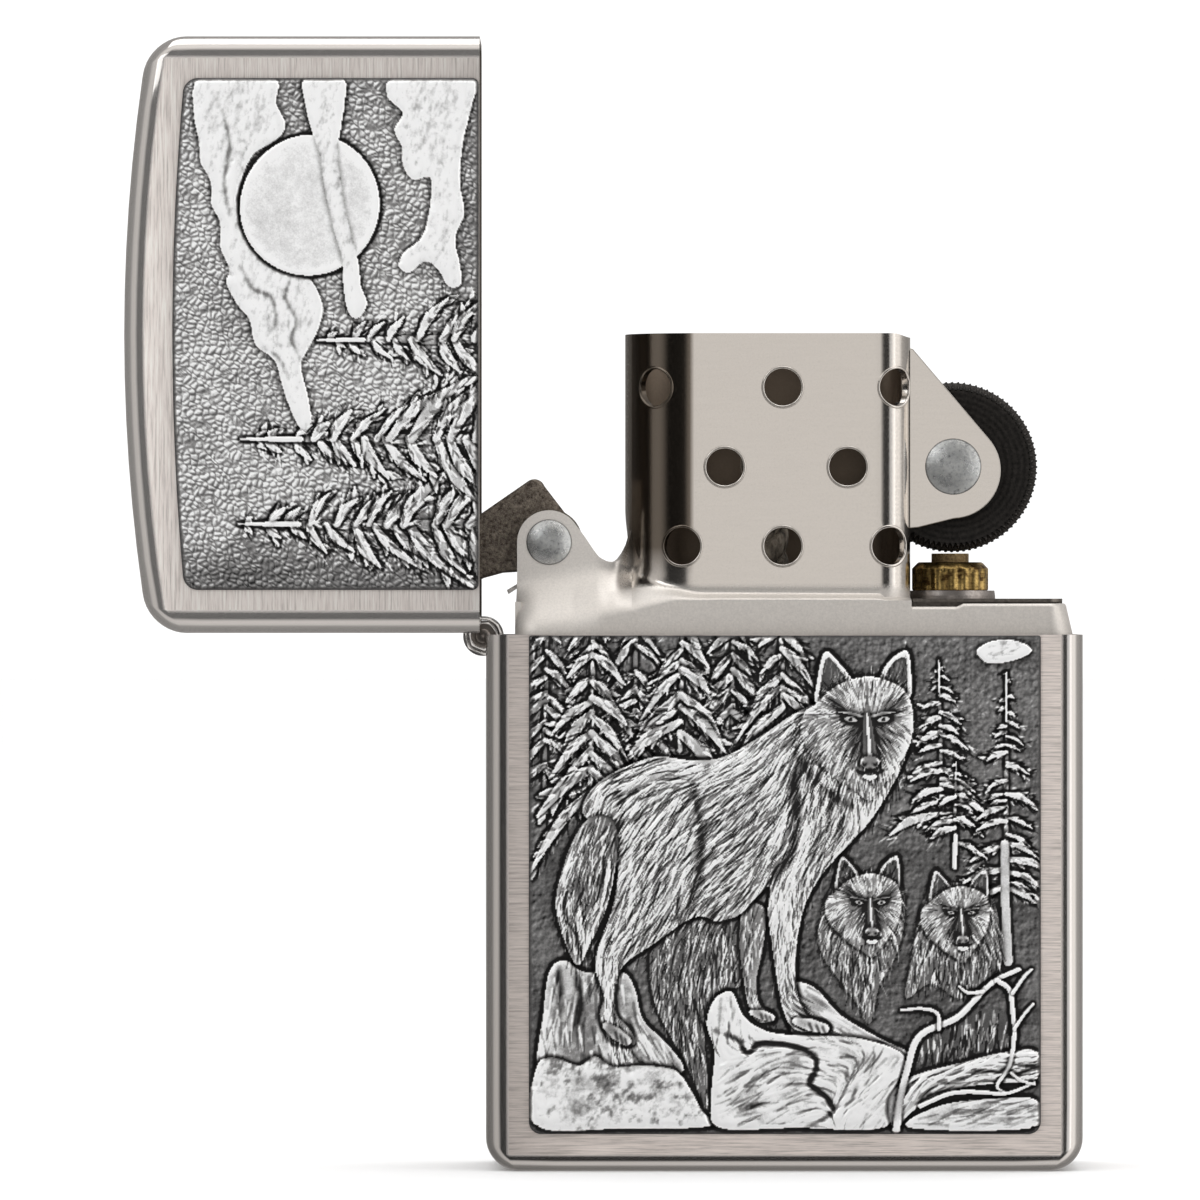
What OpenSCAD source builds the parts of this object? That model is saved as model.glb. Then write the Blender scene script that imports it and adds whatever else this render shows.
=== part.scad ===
// Flip-top windproof petrol lighter, shown open: a drawn two-part case with a
// barrel hinge, and a stamped steel insert that carries the chimney, the spark
// wheel, the flint feed, the lid cam, the wick and the fuel packing.
// Millimetres. Origin: centre of the case's underside. The front faces -Y and
// the hinge is at -X. Sub-parts of the lid are drawn closed, then opened.

/* [Case] */
// Width of the case and lid
case_w = 38.1; // [36:0.1:40]
// Depth of the case, front to back
case_d = 12.7; // [12:0.1:14]
// Height of the lighter with its lid shut
closed_h = 57; // [56:0.1:60]
// Height of the seam between case and lid
seam_z = 34.2; // [33:0.1:36]
// Thickness of the drawn sheet
wall = 0.45; // [0.35:0.05:0.6]
// Radius of the upright edges, seen from above
edge_r = 1.5; // [1:0.1:2]
// Radius of the case's bottom corners, seen from the front
foot_r = 2.1; // [1.8:0.1:3]
// Radius of the lid's top corners, seen from the front
crown_r = 2.4; // [2:0.1:3]
// Rise of the lid's domed top over its shoulders
dome_rise = 1.2; // [0.5:0.1:2]

/* [Hinge] */
// Angle that the lid is opened to
lid_open = 90; // [0:1:100]
// Outer radius of the rolled knuckles
knuckle_r = 1.2; // [1:0.05:1.3]
// Radius of the hinge pin
pin_r = 0.74; // [0.5:0.02:0.76]
// Length of the barrel, front to back
barrel_len = 8.8; // [8:0.1:9]

/* [Insert] */
// Depth of the insert, front to back
insert_d = 11.3; // [11:0.1:11.4]
// Height of the insert's deck
deck_z = 36.5; // [36:0.1:37]
// Height of the chimney's rim
chimney_z = 53.45; // [52:0.05:54]
// Depth of the chimney, front to back
chimney_d = 9.8; // [9:0.1:10.4]
// Thickness of the insert's sheet
sheet = 0.4; // [0.3:0.05:0.4]
// Distance of the ears' outer faces from the middle plane
ear_y = 3; // [2.9:0.05:3.2]
// Radius of the wind holes
wind_hole_r = 1.27; // [1:0.05:1.4]

/* [Spark wheel] */
// Radius over the teeth
wheel_r = 5.5; // [5:0.05:5.6]
// Thickness of the wheel
wheel_t = 4.6; // [4:0.1:4.8]
// Number of teeth
wheel_teeth = 90; // [40:1:110]

/* [Cam] */
// Angle that the lid cam is turned by
cam_turn = 0; // [-94:1:10]
// Thickness of the cam
cam_t = 4.6; // [4:0.1:4.8]

/* [Flint] */
// Radius of the flint
flint_r = 1.2; // [1:0.05:1.2]
// Turns of the flint spring
spring_turns = 17; // [8:1:20]

/* [Hidden] */
$fn = 48;
// Overlap that makes cuts clean, and the play left between neighbouring pieces
eps = 0.02;
gap = 0.05;

// Radii of the case's foot and the lid's top, seen from the side
foot_side_r = 1.1;
crown_side_r = 1.4;

// Hinge axis, at the left of the seam
hinge_x = -case_w / 2 - 0.2;
hinge_z = seam_z - 0.1;
notch_gap = 0.1;
seam_gap = 0.1;
leaf_t = 0.4;
leaf_len = 5.5;
leaf_x = -case_w / 2 + wall;
knuckle_len = barrel_len / 5;
notch_len = barrel_len + 4 * notch_gap;

// Plan of the insert's tank
tank_x0 = -17.2;
tank_x1 = 18.2;
tank_z0 = 1.3;
tank_r = 1.5;
plate_z = deck_z - 0.6;
plate_t = 0.4;
plate_x0 = -15.8;
plate_narrow = 3.3;
plate_wide = 4;
deck_t = 0.2;

// Slot in the plate that the cam spring's bend comes up through
slot_x = -13.6;
slot_w = 2.4;
slot_half = 2.3;

// Plan of the chimney
chim_x0 = -10.15;
chim_x1 = 8.1;
chim_left_r = 4.4;
chim_right_r = 2;
shoulder_z = deck_z + 0.3;

// Sloped shoulders that lead from the tank up to the cam ears
slope_z0 = 34.6;
slope_z1 = 37.9;
slope_x1 = -8.3;

// Cam pivot, wheel axle and flint axis
cam_x = -15.03;
cam_z = 40.11;
cam_ear_r = 2.05;
valley_z = 38.5;
wheel_x = 10.85;
wheel_z = 44.95;
wheel_ear_r = 3.1;
wheel_ear_z0 = 41;
wheel_ear_z1 = 52.4;
flint_x = 10.75;

// Rivets
cam_shaft_r = 0.95;
cam_head_r = 1.45;
wheel_shaft_r = 1;
wheel_head_r = 1.8;
head_t = 0.35;
clearance = 0.05;

// Flint tube, collar and washer
tube_r = 1.9;
tube_bore = 1.25;
tube_z0 = 2.6;
tube_z1 = 38.84;
collar_r = 2.45;
collar_z0 = 37.02;
collar_band = 1.5;
washer_r = 2.9;
flint_z0 = 34.5;
flint_z1 = wheel_z - wheel_r - gap;
plunger_z0 = 33;
spring_z0 = 8;
spring_r = 0.9;
spring_wire_r = 0.2;
screw_head_r = 2.1;
screw_z0 = 1;
plunger_stem_r = 0.5;
plunger_stem = 2.5;

// Cam spring and its rivet
spring_t = 0.25;
spring_high = 37.3;
spring_bend_x = -12;
spring_blade_x = -16.9;
spring_foot_x = -6.8;
spring_rivet_x = -8.2;
spring_rivet_r = 0.6;
spring_rivet_head_r = 1.1;

// Wick, packing and felt
wick_x = -1.2;
wick_r = 1.7;
wick_z0 = 26;
wick_z1 = 47.5;
felt_z0 = 1.5;
felt_z1 = 3.9;
// Centre x, centre z and radius of each packing ball
PACKING = [
    [-11.3, 9.2, 5.1], [-0.7, 9.2, 5.1], [-11.3, 19.6, 5.1],
    [-0.7, 19.6, 5.1], [-9.3, 29.9, 5.1], [4.75, 29.2, 3.8]
];

// Emblem plates
emblem_w = 32.6;
emblem_t = 0.85;
emblem_r = 0.8;
emblem_z0 = 2.4;
emblem_z1 = seam_z - 0.05;
lid_emblem_z0 = seam_z + 0.15;
lid_emblem_z1 = closed_h - 3.15;

// Wind holes: x and z on the chimney's front face, and on its back face,
// where they stand between the front ones so that no flame is blown through
FRONT_HOLES = [
    [-8.2, 50], [-0.1, 50], [6.9, 50], [-3.8, 44.9], [4.05, 44.9],
    [-6.6, 39.85], [-0.1, 39.85], [6.45, 39.85]
];
BACK_HOLES = [
    [-3.8, 50], [4.05, 50], [-8, 44.9], [-0.1, 44.9], [6.9, 44.9],
    [-3.3, 39.85], [3.1, 39.85]
];

// ---------------------------------------------------------------- outlines

// Points along an arc, in degrees, with its ends
function arc_points(cx, cy, r, a0, a1, n = 12) =
    [for (i = [0 : n]) let (a = a0 + (a1 - a0) * i / n) [cx + r * cos(a), cy + r * sin(a)]];

// Rectangle from (x0, y0) to (x1, y1) with round corners
module round_rect(x0, y0, x1, y1, r) {
    translate([x0 + r, y0]) square([x1 - x0 - 2 * r, y1 - y0]);
    translate([x0, y0 + r]) square([x1 - x0, y1 - y0 - 2 * r]);
    for (x = [x0 + r, x1 - r], y = [y0 + r, y1 - r])
        translate([x, y]) circle(r);
}

// Front outline of the case: square at the rim, round at the foot
function foot_outline(inset, top) =
    let (x = case_w / 2 - inset, r = foot_r - inset)
    concat(
        [[-x, top], [-x, inset + r]],
        arc_points(-x + r, inset + r, r, 180, 270),
        arc_points(x - r, inset + r, r, 270, 360),
        [[x, top]]
    );

// Front outline of the lid: square at the rim, with a low dome on top
dome_half = case_w / 2 - crown_r;
dome_r = (dome_half * dome_half + dome_rise * dome_rise) / (2 * dome_rise);
dome_a = asin(dome_half / dome_r);
function crown_outline(inset, bottom) =
    let (
        x = case_w / 2 - inset,
        r = crown_r - inset,
        cz = closed_h - dome_rise - crown_r,
        arc_z = closed_h - dome_r
    )
    concat(
        [[-x, bottom]],
        arc_points(-dome_half, cz, r, 180, 90 + dome_a),
        arc_points(0, arc_z, dome_r - inset, 90 + dome_a, 90 - dome_a, 24),
        arc_points(dome_half, cz, r, 90 - dome_a, 0),
        [[x, bottom]]
    );

// A flat outline in x and z, made solid between two depths
module front_solid(y0, y1)
    translate([0, y1, 0]) rotate([90, 0, 0]) linear_extrude(y1 - y0) children();

// A flat outline in y and z, made solid between two x
module side_solid(x0, x1)
    translate([x0, 0, 0]) rotate([90, 0, 90]) linear_extrude(x1 - x0) children();

// A cylinder along Y
module y_rod(x, z, r, y0, y1)
    translate([x, y1, z]) rotate([90, 0, 0]) cylinder(r = r, h = y1 - y0);

// Places closed lid pieces at the angle the lid is open
module opened()
    translate([hinge_x, 0, hinge_z]) rotate([0, -lid_open, 0])
        translate([-hinge_x, 0, -hinge_z]) children();

// -------------------------------------------------------------------- case

module case_block(inset, top) {
    half_d = case_d / 2 - inset;
    side_r = foot_side_r - inset / 2;
    intersection() {
        front_solid(-half_d, half_d) polygon(foot_outline(inset, top));
        translate([0, 0, inset - eps]) linear_extrude(top + 1)
            round_rect(-case_w / 2 + inset, -half_d, case_w / 2 - inset, half_d, edge_r - inset);
        side_solid(-case_w / 2, case_w / 2)
            round_rect(-half_d, inset, half_d, top + 5, side_r);
    }
}

// Cut-out in the left wall for the barrel of the hinge
module barrel_notch(z0, z1)
    translate([-case_w / 2 - 1, -notch_len / 2, z0]) cube([1 + wall + eps, notch_len, z1 - z0]);

module case_shell() {
    color([0.72, 0.69, 0.66])
        difference() {
            case_block(0, seam_z);
            case_block(wall, seam_z + 1);
            barrel_notch(hinge_z - knuckle_r - notch_gap, seam_z + 1);
        }
}

module case_emblem() {
    color([0.55, 0.56, 0.58])
        front_solid(-case_d / 2 - emblem_t, -case_d / 2)
            round_rect(-emblem_w / 2, emblem_z0, emblem_w / 2, emblem_z1, emblem_r);
}

// --------------------------------------------------------------------- lid

module lid_block(inset, bottom) {
    half_d = case_d / 2 - inset;
    top_r = crown_side_r - inset / 2;
    intersection() {
        front_solid(-half_d, half_d) polygon(crown_outline(inset, bottom));
        translate([0, 0, bottom]) linear_extrude(closed_h)
            round_rect(-case_w / 2 + inset, -half_d, case_w / 2 - inset, half_d, edge_r - inset);
        side_solid(-case_w / 2, case_w / 2)
            round_rect(-half_d, bottom - 5, half_d, closed_h - inset, top_r);
    }
}

module lid_shell() {
    color([0.72, 0.69, 0.66])
        opened() difference() {
            lid_block(0, seam_z + seam_gap);
            lid_block(wall, seam_z - 1);
            barrel_notch(seam_z - 1, hinge_z + knuckle_r + notch_gap);
        }
}

// The lid's plate follows the dome along its top edge
module lid_emblem() {
    drop = closed_h - lid_emblem_z1;
    color([0.62, 0.63, 0.65])
        opened() front_solid(-case_d / 2 - emblem_t, -case_d / 2)
            polygon(concat(
                [[-emblem_w / 2, lid_emblem_z0]],
                arc_points(
                    -emblem_w / 2 + emblem_r, lid_emblem_z1 - dome_rise - emblem_r + 0.35,
                    emblem_r, 180, 90 + dome_a, 6),
                arc_points(0, closed_h - dome_r, dome_r - drop, 90 + dome_a * 0.9, 90 - dome_a * 0.9, 20),
                arc_points(
                    emblem_w / 2 - emblem_r, lid_emblem_z1 - dome_rise - emblem_r + 0.35,
                    emblem_r, 90 - dome_a, 0, 6),
                [[emblem_w / 2, lid_emblem_z0]]
            ));
}

// ------------------------------------------------------------------- hinge

// One rolled knuckle around the pin, number 0 to 4 from the front
module knuckle(i, bore) {
    y0 = -barrel_len / 2 + i * knuckle_len;
    difference() {
        y_rod(hinge_x, hinge_z, knuckle_r, y0 + gap / 2, y0 + knuckle_len - gap / 2);
        y_rod(hinge_x, hinge_z, bore, y0, y0 + knuckle_len);
    }
}

// The short strip that joins knuckle i to its leaf, between two heights
module knuckle_strip(i, z0, z1) {
    y0 = -barrel_len / 2 + i * knuckle_len + gap / 2;
    translate([hinge_x + knuckle_r - leaf_t, y0, z0])
        cube([leaf_t, knuckle_len - gap, z1 - z0]);
}

module hinge_case_leaf() {
    top = hinge_z - knuckle_r - notch_gap;
    color([0.66, 0.64, 0.61]) {
        translate([leaf_x, -barrel_len / 2, top - leaf_len])
            cube([hinge_x + knuckle_r - leaf_x, barrel_len, leaf_len]);
        for (i = [0, 2, 4]) {
            knuckle(i, pin_r);
            knuckle_strip(i, top - eps, hinge_z);
        }
    }
}

module hinge_lid_leaf() {
    bottom = hinge_z + knuckle_r + notch_gap;
    color([0.66, 0.64, 0.61])
        opened() {
            translate([leaf_x, -barrel_len / 2, bottom])
                cube([hinge_x + knuckle_r - leaf_x, barrel_len, leaf_len]);
            for (i = [1, 3]) {
                knuckle(i, pin_r + clearance);
                knuckle_strip(i, hinge_z, bottom + eps);
            }
        }
}

module hinge_pin() {
    color([0.45, 0.43, 0.42])
        y_rod(hinge_x, hinge_z, pin_r, -barrel_len / 2 + 0.2, barrel_len / 2 - 0.2);
}

// ------------------------------------------------------------------ insert

module tank_plan(inset)
    round_rect(
        tank_x0 + inset, -insert_d / 2 + inset, tank_x1 - inset, insert_d / 2 - inset,
        tank_r - inset);

// Plan of the chimney: a wide round end by the cam, tighter corners by the wheel
module chimney_plan(inset) {
    half = chimney_d / 2 - inset;
    left_r = chim_left_r - inset;
    right_r = chim_right_r - inset;
    left_x = chim_x0 + chim_left_r;
    right_x = chim_x1 - chim_right_r;
    translate([left_x, -half]) square([right_x - left_x, 2 * half]);
    translate([chim_x0 + inset, -half + left_r])
        square([right_x - chim_x0, 2 * (half - left_r)]);
    translate([left_x, -half + right_r])
        square([chim_x1 - inset - left_x, 2 * (half - right_r)]);
    for (side = [-1, 1]) {
        translate([left_x, side * (half - left_r)]) circle(left_r);
        translate([right_x, side * (half - right_r)]) circle(right_r);
    }
}

// Section of a shoulder that slopes from the wall at (y0, z0) in to (y1, z1)
module slope_section(y0, z0, y1, z1)
    polygon([
        [y0, z0 - sheet], [y0, z0], [y1, z1], [y1 + sheet, z1],
        [y1 + sheet, z1 - sheet], [y0 + sheet, z0 - sheet]
    ]);

// Outline of the ear that holds the cam's rivet, with the valley beside it
module cam_ear_outline() {
    polygon(concat(
        [[tank_x0 + 0.15, slope_z1 - sheet], [tank_x0 + 0.15, cam_z]],
        arc_points(cam_x, cam_z, cam_ear_r, 180, 35, 16),
        [[-11.9, valley_z + 0.55], [-11.6, valley_z + 0.15], [-11.2, valley_z]],
        [[-10.5, valley_z], [-10.1, valley_z + 0.2], [-9.7, valley_z + 0.9]],
        [[-9.3, valley_z + 3], [-9.1, valley_z + 3], [-9.1, slope_z1 - sheet]]
    ));
}

// Outline of the ear that holds the wheel's rivet
module wheel_ear_outline() {
    hull() {
        translate([wheel_x - 0.05, wheel_z - 0.2]) circle(wheel_ear_r);
        translate([chim_x1 - 0.3, wheel_ear_z0]) square([0.2, wheel_ear_z1 - wheel_ear_z0]);
    }
}

// Both side plates made from one outline
module pair_of_plates(outer, thick)
    for (side = [-1, 1])
        front_solid(min(side * outer, side * (outer - thick)), max(side * outer, side * (outer - thick)))
            children();

module tank_walls()
    difference() {
        translate([0, 0, tank_z0]) linear_extrude(deck_z - 0.2 - tank_z0) tank_plan(0);
        translate([0, 0, tank_z0 - 1]) linear_extrude(deck_z + 2) tank_plan(sheet);
        // The corner over the cam is cut back, where the shoulders slope in
        translate([tank_x0 - 1, -insert_d, slope_z0 - eps])
            cube([slope_x1 - tank_x0 + 1, 2 * insert_d, 10]);
    }

module shoulders() {
    for (side = [0, 1]) mirror([0, side, 0]) {
        side_solid(tank_x0, slope_x1)
            slope_section(-insert_d / 2, slope_z0, -ear_y, slope_z1);
        side_solid(slope_x1, chim_x1)
            slope_section(-insert_d / 2, deck_z - 0.2, -chimney_d / 2, shoulder_z + 0.2);
    }
    // End wall under the cam, between the two slopes
    side_solid(tank_x0, tank_x0 + sheet)
        polygon([
            [-insert_d / 2 + 0.1, slope_z0 - sheet], [insert_d / 2 - 0.1, slope_z0 - sheet],
            [4.1, 36.3], [-4.1, 36.3]
        ]);
}

module chimney_walls()
    difference() {
        translate([0, 0, deck_z]) linear_extrude(chimney_z - deck_z) chimney_plan(0);
        translate([0, 0, deck_z - 1]) linear_extrude(chimney_z) chimney_plan(sheet);
        // Open side, where the wheel turns between its ears
        translate([chim_x1 - 1.2, -ear_y + sheet, deck_z - 1])
            cube([3, 2 * (ear_y - sheet), chimney_z]);
    }

module insert_shell() {
    color([0.76, 0.73, 0.7])
        difference() {
            union() {
                tank_walls();
                shoulders();
                chimney_walls();
                pair_of_plates(ear_y, sheet) cam_ear_outline();
                pair_of_plates(ear_y, sheet) wheel_ear_outline();
            }
            y_rod(cam_x, cam_z, cam_shaft_r + 0.01, -4, 4);
            y_rod(wheel_x, wheel_z, wheel_shaft_r + 0.01, -4, 4);
            for (h = FRONT_HOLES) y_rod(h[0], h[1], wind_hole_r, -insert_d, 0);
            for (h = BACK_HOLES) y_rod(h[0], h[1], wind_hole_r, 0, insert_d);
        }
}

// Plate inside the insert's top, which carries the wick and the flint tube
module top_plate() {
    color([0.5, 0.47, 0.44])
        difference() {
            translate([0, 0, plate_z]) linear_extrude(plate_t)
                difference() {
                    intersection() {
                        tank_plan(sheet + eps);
                        union() {
                            translate([plate_x0, -plate_narrow]) square([40, 2 * plate_narrow]);
                            translate([slope_x1, -plate_wide]) square([40, 2 * plate_wide]);
                        }
                    }
                    translate([slot_x, -slot_half]) square([slot_w, 2 * slot_half]);
                }
            translate([wick_x, 0, plate_z - 1]) cylinder(r = wick_r + 0.1, h = 3);
            translate([flint_x, 0, plate_z - 1]) cylinder(r = tube_r + 0.01, h = 3);
            translate([spring_rivet_x, 0, plate_z - 1]) cylinder(r = spring_rivet_r + 0.01, h = 3);
        }
    // Deck over the right-hand end, under the wheel
    color([0.6, 0.57, 0.54])
        difference() {
            translate([0, 0, plate_z + plate_t]) linear_extrude(deck_t)
                intersection() {
                    tank_plan(sheet + eps);
                    translate([chim_x1 + 0.1, -6]) square([12, 12]);
                }
            translate([flint_x, 0, plate_z - 1]) cylinder(r = tube_r + 0.01, h = 3);
        }
}

module wick() {
    color([0.86, 0.83, 0.76])
        translate([wick_x, 0, wick_z0]) cylinder(r = wick_r, h = wick_z1 - wick_z0);
}

module packing_ball(i) {
    ball = PACKING[i - 1];
    color([0.93, 0.92, 0.88]) translate([ball[0], 0, ball[1]]) sphere(ball[2]);
}

module felt_pad() {
    color([0.8, 0.78, 0.73])
        translate([0, 0, felt_z0]) difference() {
            linear_extrude(felt_z1 - felt_z0) tank_plan(sheet + 0.15);
            translate([flint_x, 0, -1]) cylinder(r = screw_head_r + 0.4, h = 5);
        }
}

// ------------------------------------------------------------- flint feed

module flint_tube() {
    color([0.78, 0.62, 0.3])
        translate([flint_x, 0, tube_z0]) difference() {
            cylinder(r = tube_r, h = tube_z1 - tube_z0);
            translate([0, 0, -1]) cylinder(r = tube_bore, h = 50);
        }
}

// Faceted brass collar round the tube's mouth
module flint_collar() {
    color([0.8, 0.64, 0.3])
        translate([flint_x, 0, collar_z0]) difference() {
            union() {
                cylinder(r = collar_r, h = collar_band, $fn = 14);
                translate([0, 0, collar_band])
                    cylinder(r1 = collar_r * 0.96, r2 = collar_r - 0.45, h = tube_z1 - collar_z0 - collar_band);
            }
            translate([0, 0, -1]) cylinder(r = tube_r, h = 5);
        }
}

module collar_washer() {
    color([0.42, 0.4, 0.38])
        translate([flint_x, 0, plate_z + plate_t + deck_t]) difference() {
            union() {
                cylinder(r = washer_r, h = 0.2);
                translate([0, 0, 0.2]) cylinder(r1 = washer_r, r2 = 2.85, h = collar_z0 - deck_z - 0.2);
            }
            translate([0, 0, -1]) cylinder(r = tube_r, h = 5);
        }
}

module flint() {
    color([0.35, 0.33, 0.3])
        translate([flint_x, 0, flint_z0]) cylinder(r = flint_r, h = flint_z1 - flint_z0);
}

module flint_plunger() {
    color([0.8, 0.64, 0.3])
        translate([flint_x, 0, 0]) {
            translate([0, 0, plunger_z0]) cylinder(r = flint_r, h = flint_z0 - plunger_z0);
            translate([0, 0, plunger_z0 - plunger_stem]) cylinder(r = plunger_stem_r, h = plunger_stem + eps);
        }
}

// Coil of round wire, swept as rings of points along its helix
module flint_spring() {
    ring = 6;
    per_turn = 12;
    count = spring_turns * per_turn;
    height = plunger_z0 - spring_z0 - 2 * spring_wire_r - 0.04;
    points = [
        for (i = [0 : count], j = [0 : ring - 1])
            let (
                a = 360 * i / per_turn,
                b = 360 * j / ring,
                r = spring_r + spring_wire_r * cos(b)
            )
            [r * cos(a), r * sin(a), height * i / count + spring_wire_r * sin(b)]
    ];
    faces = concat(
        [[for (j = [0 : ring - 1]) j]],
        [for (i = [0 : count - 1], j = [0 : ring - 1])
            let (k = (j + 1) % ring)
            [i * ring + j, (i + 1) * ring + j, (i + 1) * ring + k, i * ring + k]],
        [[for (j = [ring - 1 : -1 : 0]) count * ring + j]]
    );
    color([0.6, 0.6, 0.6])
        translate([flint_x, 0, spring_z0 + spring_wire_r + 0.02]) polyhedron(points, faces, convexity = 10);
}

// Screw that closes the tube from below, with a coin slot
module flint_screw() {
    color([0.8, 0.64, 0.3])
        translate([flint_x, 0, screw_z0]) difference() {
            union() {
                cylinder(r = screw_head_r, h = 1.1);
                cylinder(r = flint_r, h = spring_z0 - screw_z0);
            }
            translate([-3, -0.3, -0.1]) cube([6, 0.6, 0.6]);
        }
}

// ----------------------------------------------------- wheel, cam, rivets

// Outline of the spark wheel: one tooth for each pair of points
module wheel_outline() {
    step = 360 / wheel_teeth;
    polygon([
        for (i = [0 : wheel_teeth - 1], tip = [0, 1])
            let (a = (i + tip * 0.5) * step, r = wheel_r - 0.22 * (1 - tip))
            [r * cos(a), r * sin(a)]
    ]);
}

module spark_wheel() {
    color([0.13, 0.12, 0.11])
        translate([wheel_x, 0, wheel_z]) difference() {
            front_solid(-wheel_t / 2, wheel_t / 2) wheel_outline();
            y_rod(0, 0, wheel_shaft_r + clearance, -4, 4);
            for (side = [-1, 1]) translate([0, side * (wheel_t / 2), 0])
                rotate([90, 0, 0]) cylinder(r = 3.6, h = 0.3, center = true);
        }
}

// Rivet along Y: a shaft between two low heads
module rivet(x, z, shaft, head) {
    y_rod(x, z, shaft, -ear_y - eps, ear_y + eps);
    for (side = [-1, 1]) translate([x, side * ear_y, z]) rotate([-90 * side, 0, 0]) {
        cylinder(r = head, h = head_t * 0.5);
        translate([0, 0, head_t * 0.5]) cylinder(r1 = head, r2 = head - 0.25, h = head_t * 0.5);
    }
}

module wheel_rivet() {
    color([0.66, 0.67, 0.66]) rivet(wheel_x, wheel_z, wheel_shaft_r, wheel_head_r);
}

module cam_rivet() {
    color([0.66, 0.67, 0.66]) rivet(cam_x, cam_z, cam_shaft_r, cam_head_r);
}

// Outline of the lid cam about its pivot: hub, hump, and the arm that props the lid
module cam_outline() {
    hub = 2.15;
    hump = [-0.95, 3.35];
    wrist = [-6.2, -0.4];
    tip = [-7.1, -2.4];
    hull() {
        circle(hub);
        translate(hump) circle(0.7);
    }
    hull() {
        translate(hump) circle(0.7);
        translate(wrist) circle(0.8);
        circle(1.2);
    }
    hull() {
        translate(wrist) circle(0.8);
        translate(tip) circle(1);
    }
    polygon([[0, 0], wrist, tip, [-6.7, -3.3], [-5.4, -2.75], [-4.2, -2.28], [-3, -1.95], [-1.4, -1.7]]);
}

module lid_cam() {
    color([0.3, 0.26, 0.22])
        translate([cam_x, 0, cam_z]) rotate([0, -cam_turn, 0]) difference() {
            front_solid(-cam_t / 2, cam_t / 2) cam_outline();
            y_rod(0, 0, cam_shaft_r + clearance, -4, 4);
        }
}

// Flat spring under the cam: a foot below the plate, a bend up through its
// slot, and a blade that runs left to a drooping tip
module cam_spring() {
    low = plate_z - spring_t;
    top = spring_high + spring_t;
    bend_z = (low + top) / 2;
    bend_r = (top - low) / 2;
    color([0.62, 0.6, 0.57])
        difference() {
            front_solid(-2, 2) {
                translate([spring_bend_x, low]) square([spring_foot_x - spring_bend_x, spring_t]);
                translate([spring_blade_x, spring_high]) square([spring_bend_x - spring_blade_x, spring_t]);
                polygon([
                    [spring_blade_x, spring_high], [spring_blade_x, top],
                    [spring_blade_x - 0.85, spring_high - 0.25], [spring_blade_x - 0.75, spring_high - 0.5]
                ]);
                difference() {
                    translate([spring_bend_x, bend_z]) circle(bend_r);
                    translate([spring_bend_x, bend_z]) circle(bend_r - spring_t);
                    translate([spring_bend_x, bend_z - 2]) square([4, 4]);
                }
            }
            translate([spring_rivet_x, 0, low - 1]) cylinder(r = spring_rivet_r + 0.01, h = 3);
        }
}

module cam_spring_rivet() {
    color([0.55, 0.53, 0.5])
        translate([spring_rivet_x, 0, plate_z]) {
            translate([0, 0, -0.5]) cylinder(r = spring_rivet_r, h = plate_t + 0.8);
            translate([0, 0, plate_t]) cylinder(r = spring_rivet_head_r, h = 0.3);
            translate([0, 0, -0.55]) cylinder(r = spring_rivet_head_r, h = 0.3);
        }
}

// -------------------------------------------------------------------- draw

case_shell();
case_emblem();
hinge_case_leaf();
hinge_pin();
insert_shell();
top_plate();
flint_tube();
flint_collar();
collar_washer();
flint();
flint_plunger();
flint_spring();
flint_screw();
spark_wheel();
wheel_rivet();
lid_cam();
cam_rivet();
cam_spring();
cam_spring_rivet();
wick();
packing_ball(1);  // packing_ball_1
packing_ball(2);  // packing_ball_2
packing_ball(3);  // packing_ball_3
packing_ball(4);  // packing_ball_4
packing_ball(5);  // packing_ball_5
packing_ball(6);  // packing_ball_6
felt_pad();
lid_shell();
lid_emblem();
hinge_lid_leaf();
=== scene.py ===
"""Looks for a flip-top petrol lighter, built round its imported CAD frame.

The relief plates, case, lid, insert, wheel, cam, rivets, hinge, collar, wick,
packing and felt are meshes made here in code. The other CAD parts stay and get
procedural materials. Lengths are in millimetres until they are scaled by MM.
"""
import math

import bpy
import numpy as np
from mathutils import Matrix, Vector


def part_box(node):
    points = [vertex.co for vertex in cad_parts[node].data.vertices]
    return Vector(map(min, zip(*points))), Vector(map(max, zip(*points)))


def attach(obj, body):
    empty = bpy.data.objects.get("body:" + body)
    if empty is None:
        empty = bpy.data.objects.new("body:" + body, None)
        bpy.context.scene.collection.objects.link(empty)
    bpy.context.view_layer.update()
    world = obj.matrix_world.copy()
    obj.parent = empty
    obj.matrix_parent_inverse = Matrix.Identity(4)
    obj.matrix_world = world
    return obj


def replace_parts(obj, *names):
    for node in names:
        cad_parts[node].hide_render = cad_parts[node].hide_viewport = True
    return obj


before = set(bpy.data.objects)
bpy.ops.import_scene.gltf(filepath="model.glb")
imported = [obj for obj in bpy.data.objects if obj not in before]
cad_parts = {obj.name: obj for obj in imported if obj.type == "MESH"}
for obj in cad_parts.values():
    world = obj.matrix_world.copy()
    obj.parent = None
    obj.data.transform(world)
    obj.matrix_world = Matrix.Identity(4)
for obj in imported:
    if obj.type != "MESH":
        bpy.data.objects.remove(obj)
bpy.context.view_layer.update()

MM = 0.001
SEED = 7
# Edges that bend more than this many degrees are shaded crisp
SHARP = 38


# ------------------------------------------------------------ sizes, in mm
def box_mm(node):
    """Lowest and highest corner of a CAD node, in millimetres."""
    low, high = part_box(node)
    return np.array(low) / MM, np.array(high) / MM


CASE_LOW, CASE_HIGH = box_mm("case_shell")
CASE_W = CASE_HIGH[0] - CASE_LOW[0]
CASE_D = CASE_HIGH[1] - CASE_LOW[1]
SEAM_Z = CASE_HIGH[2]
WALL = 0.45
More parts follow.
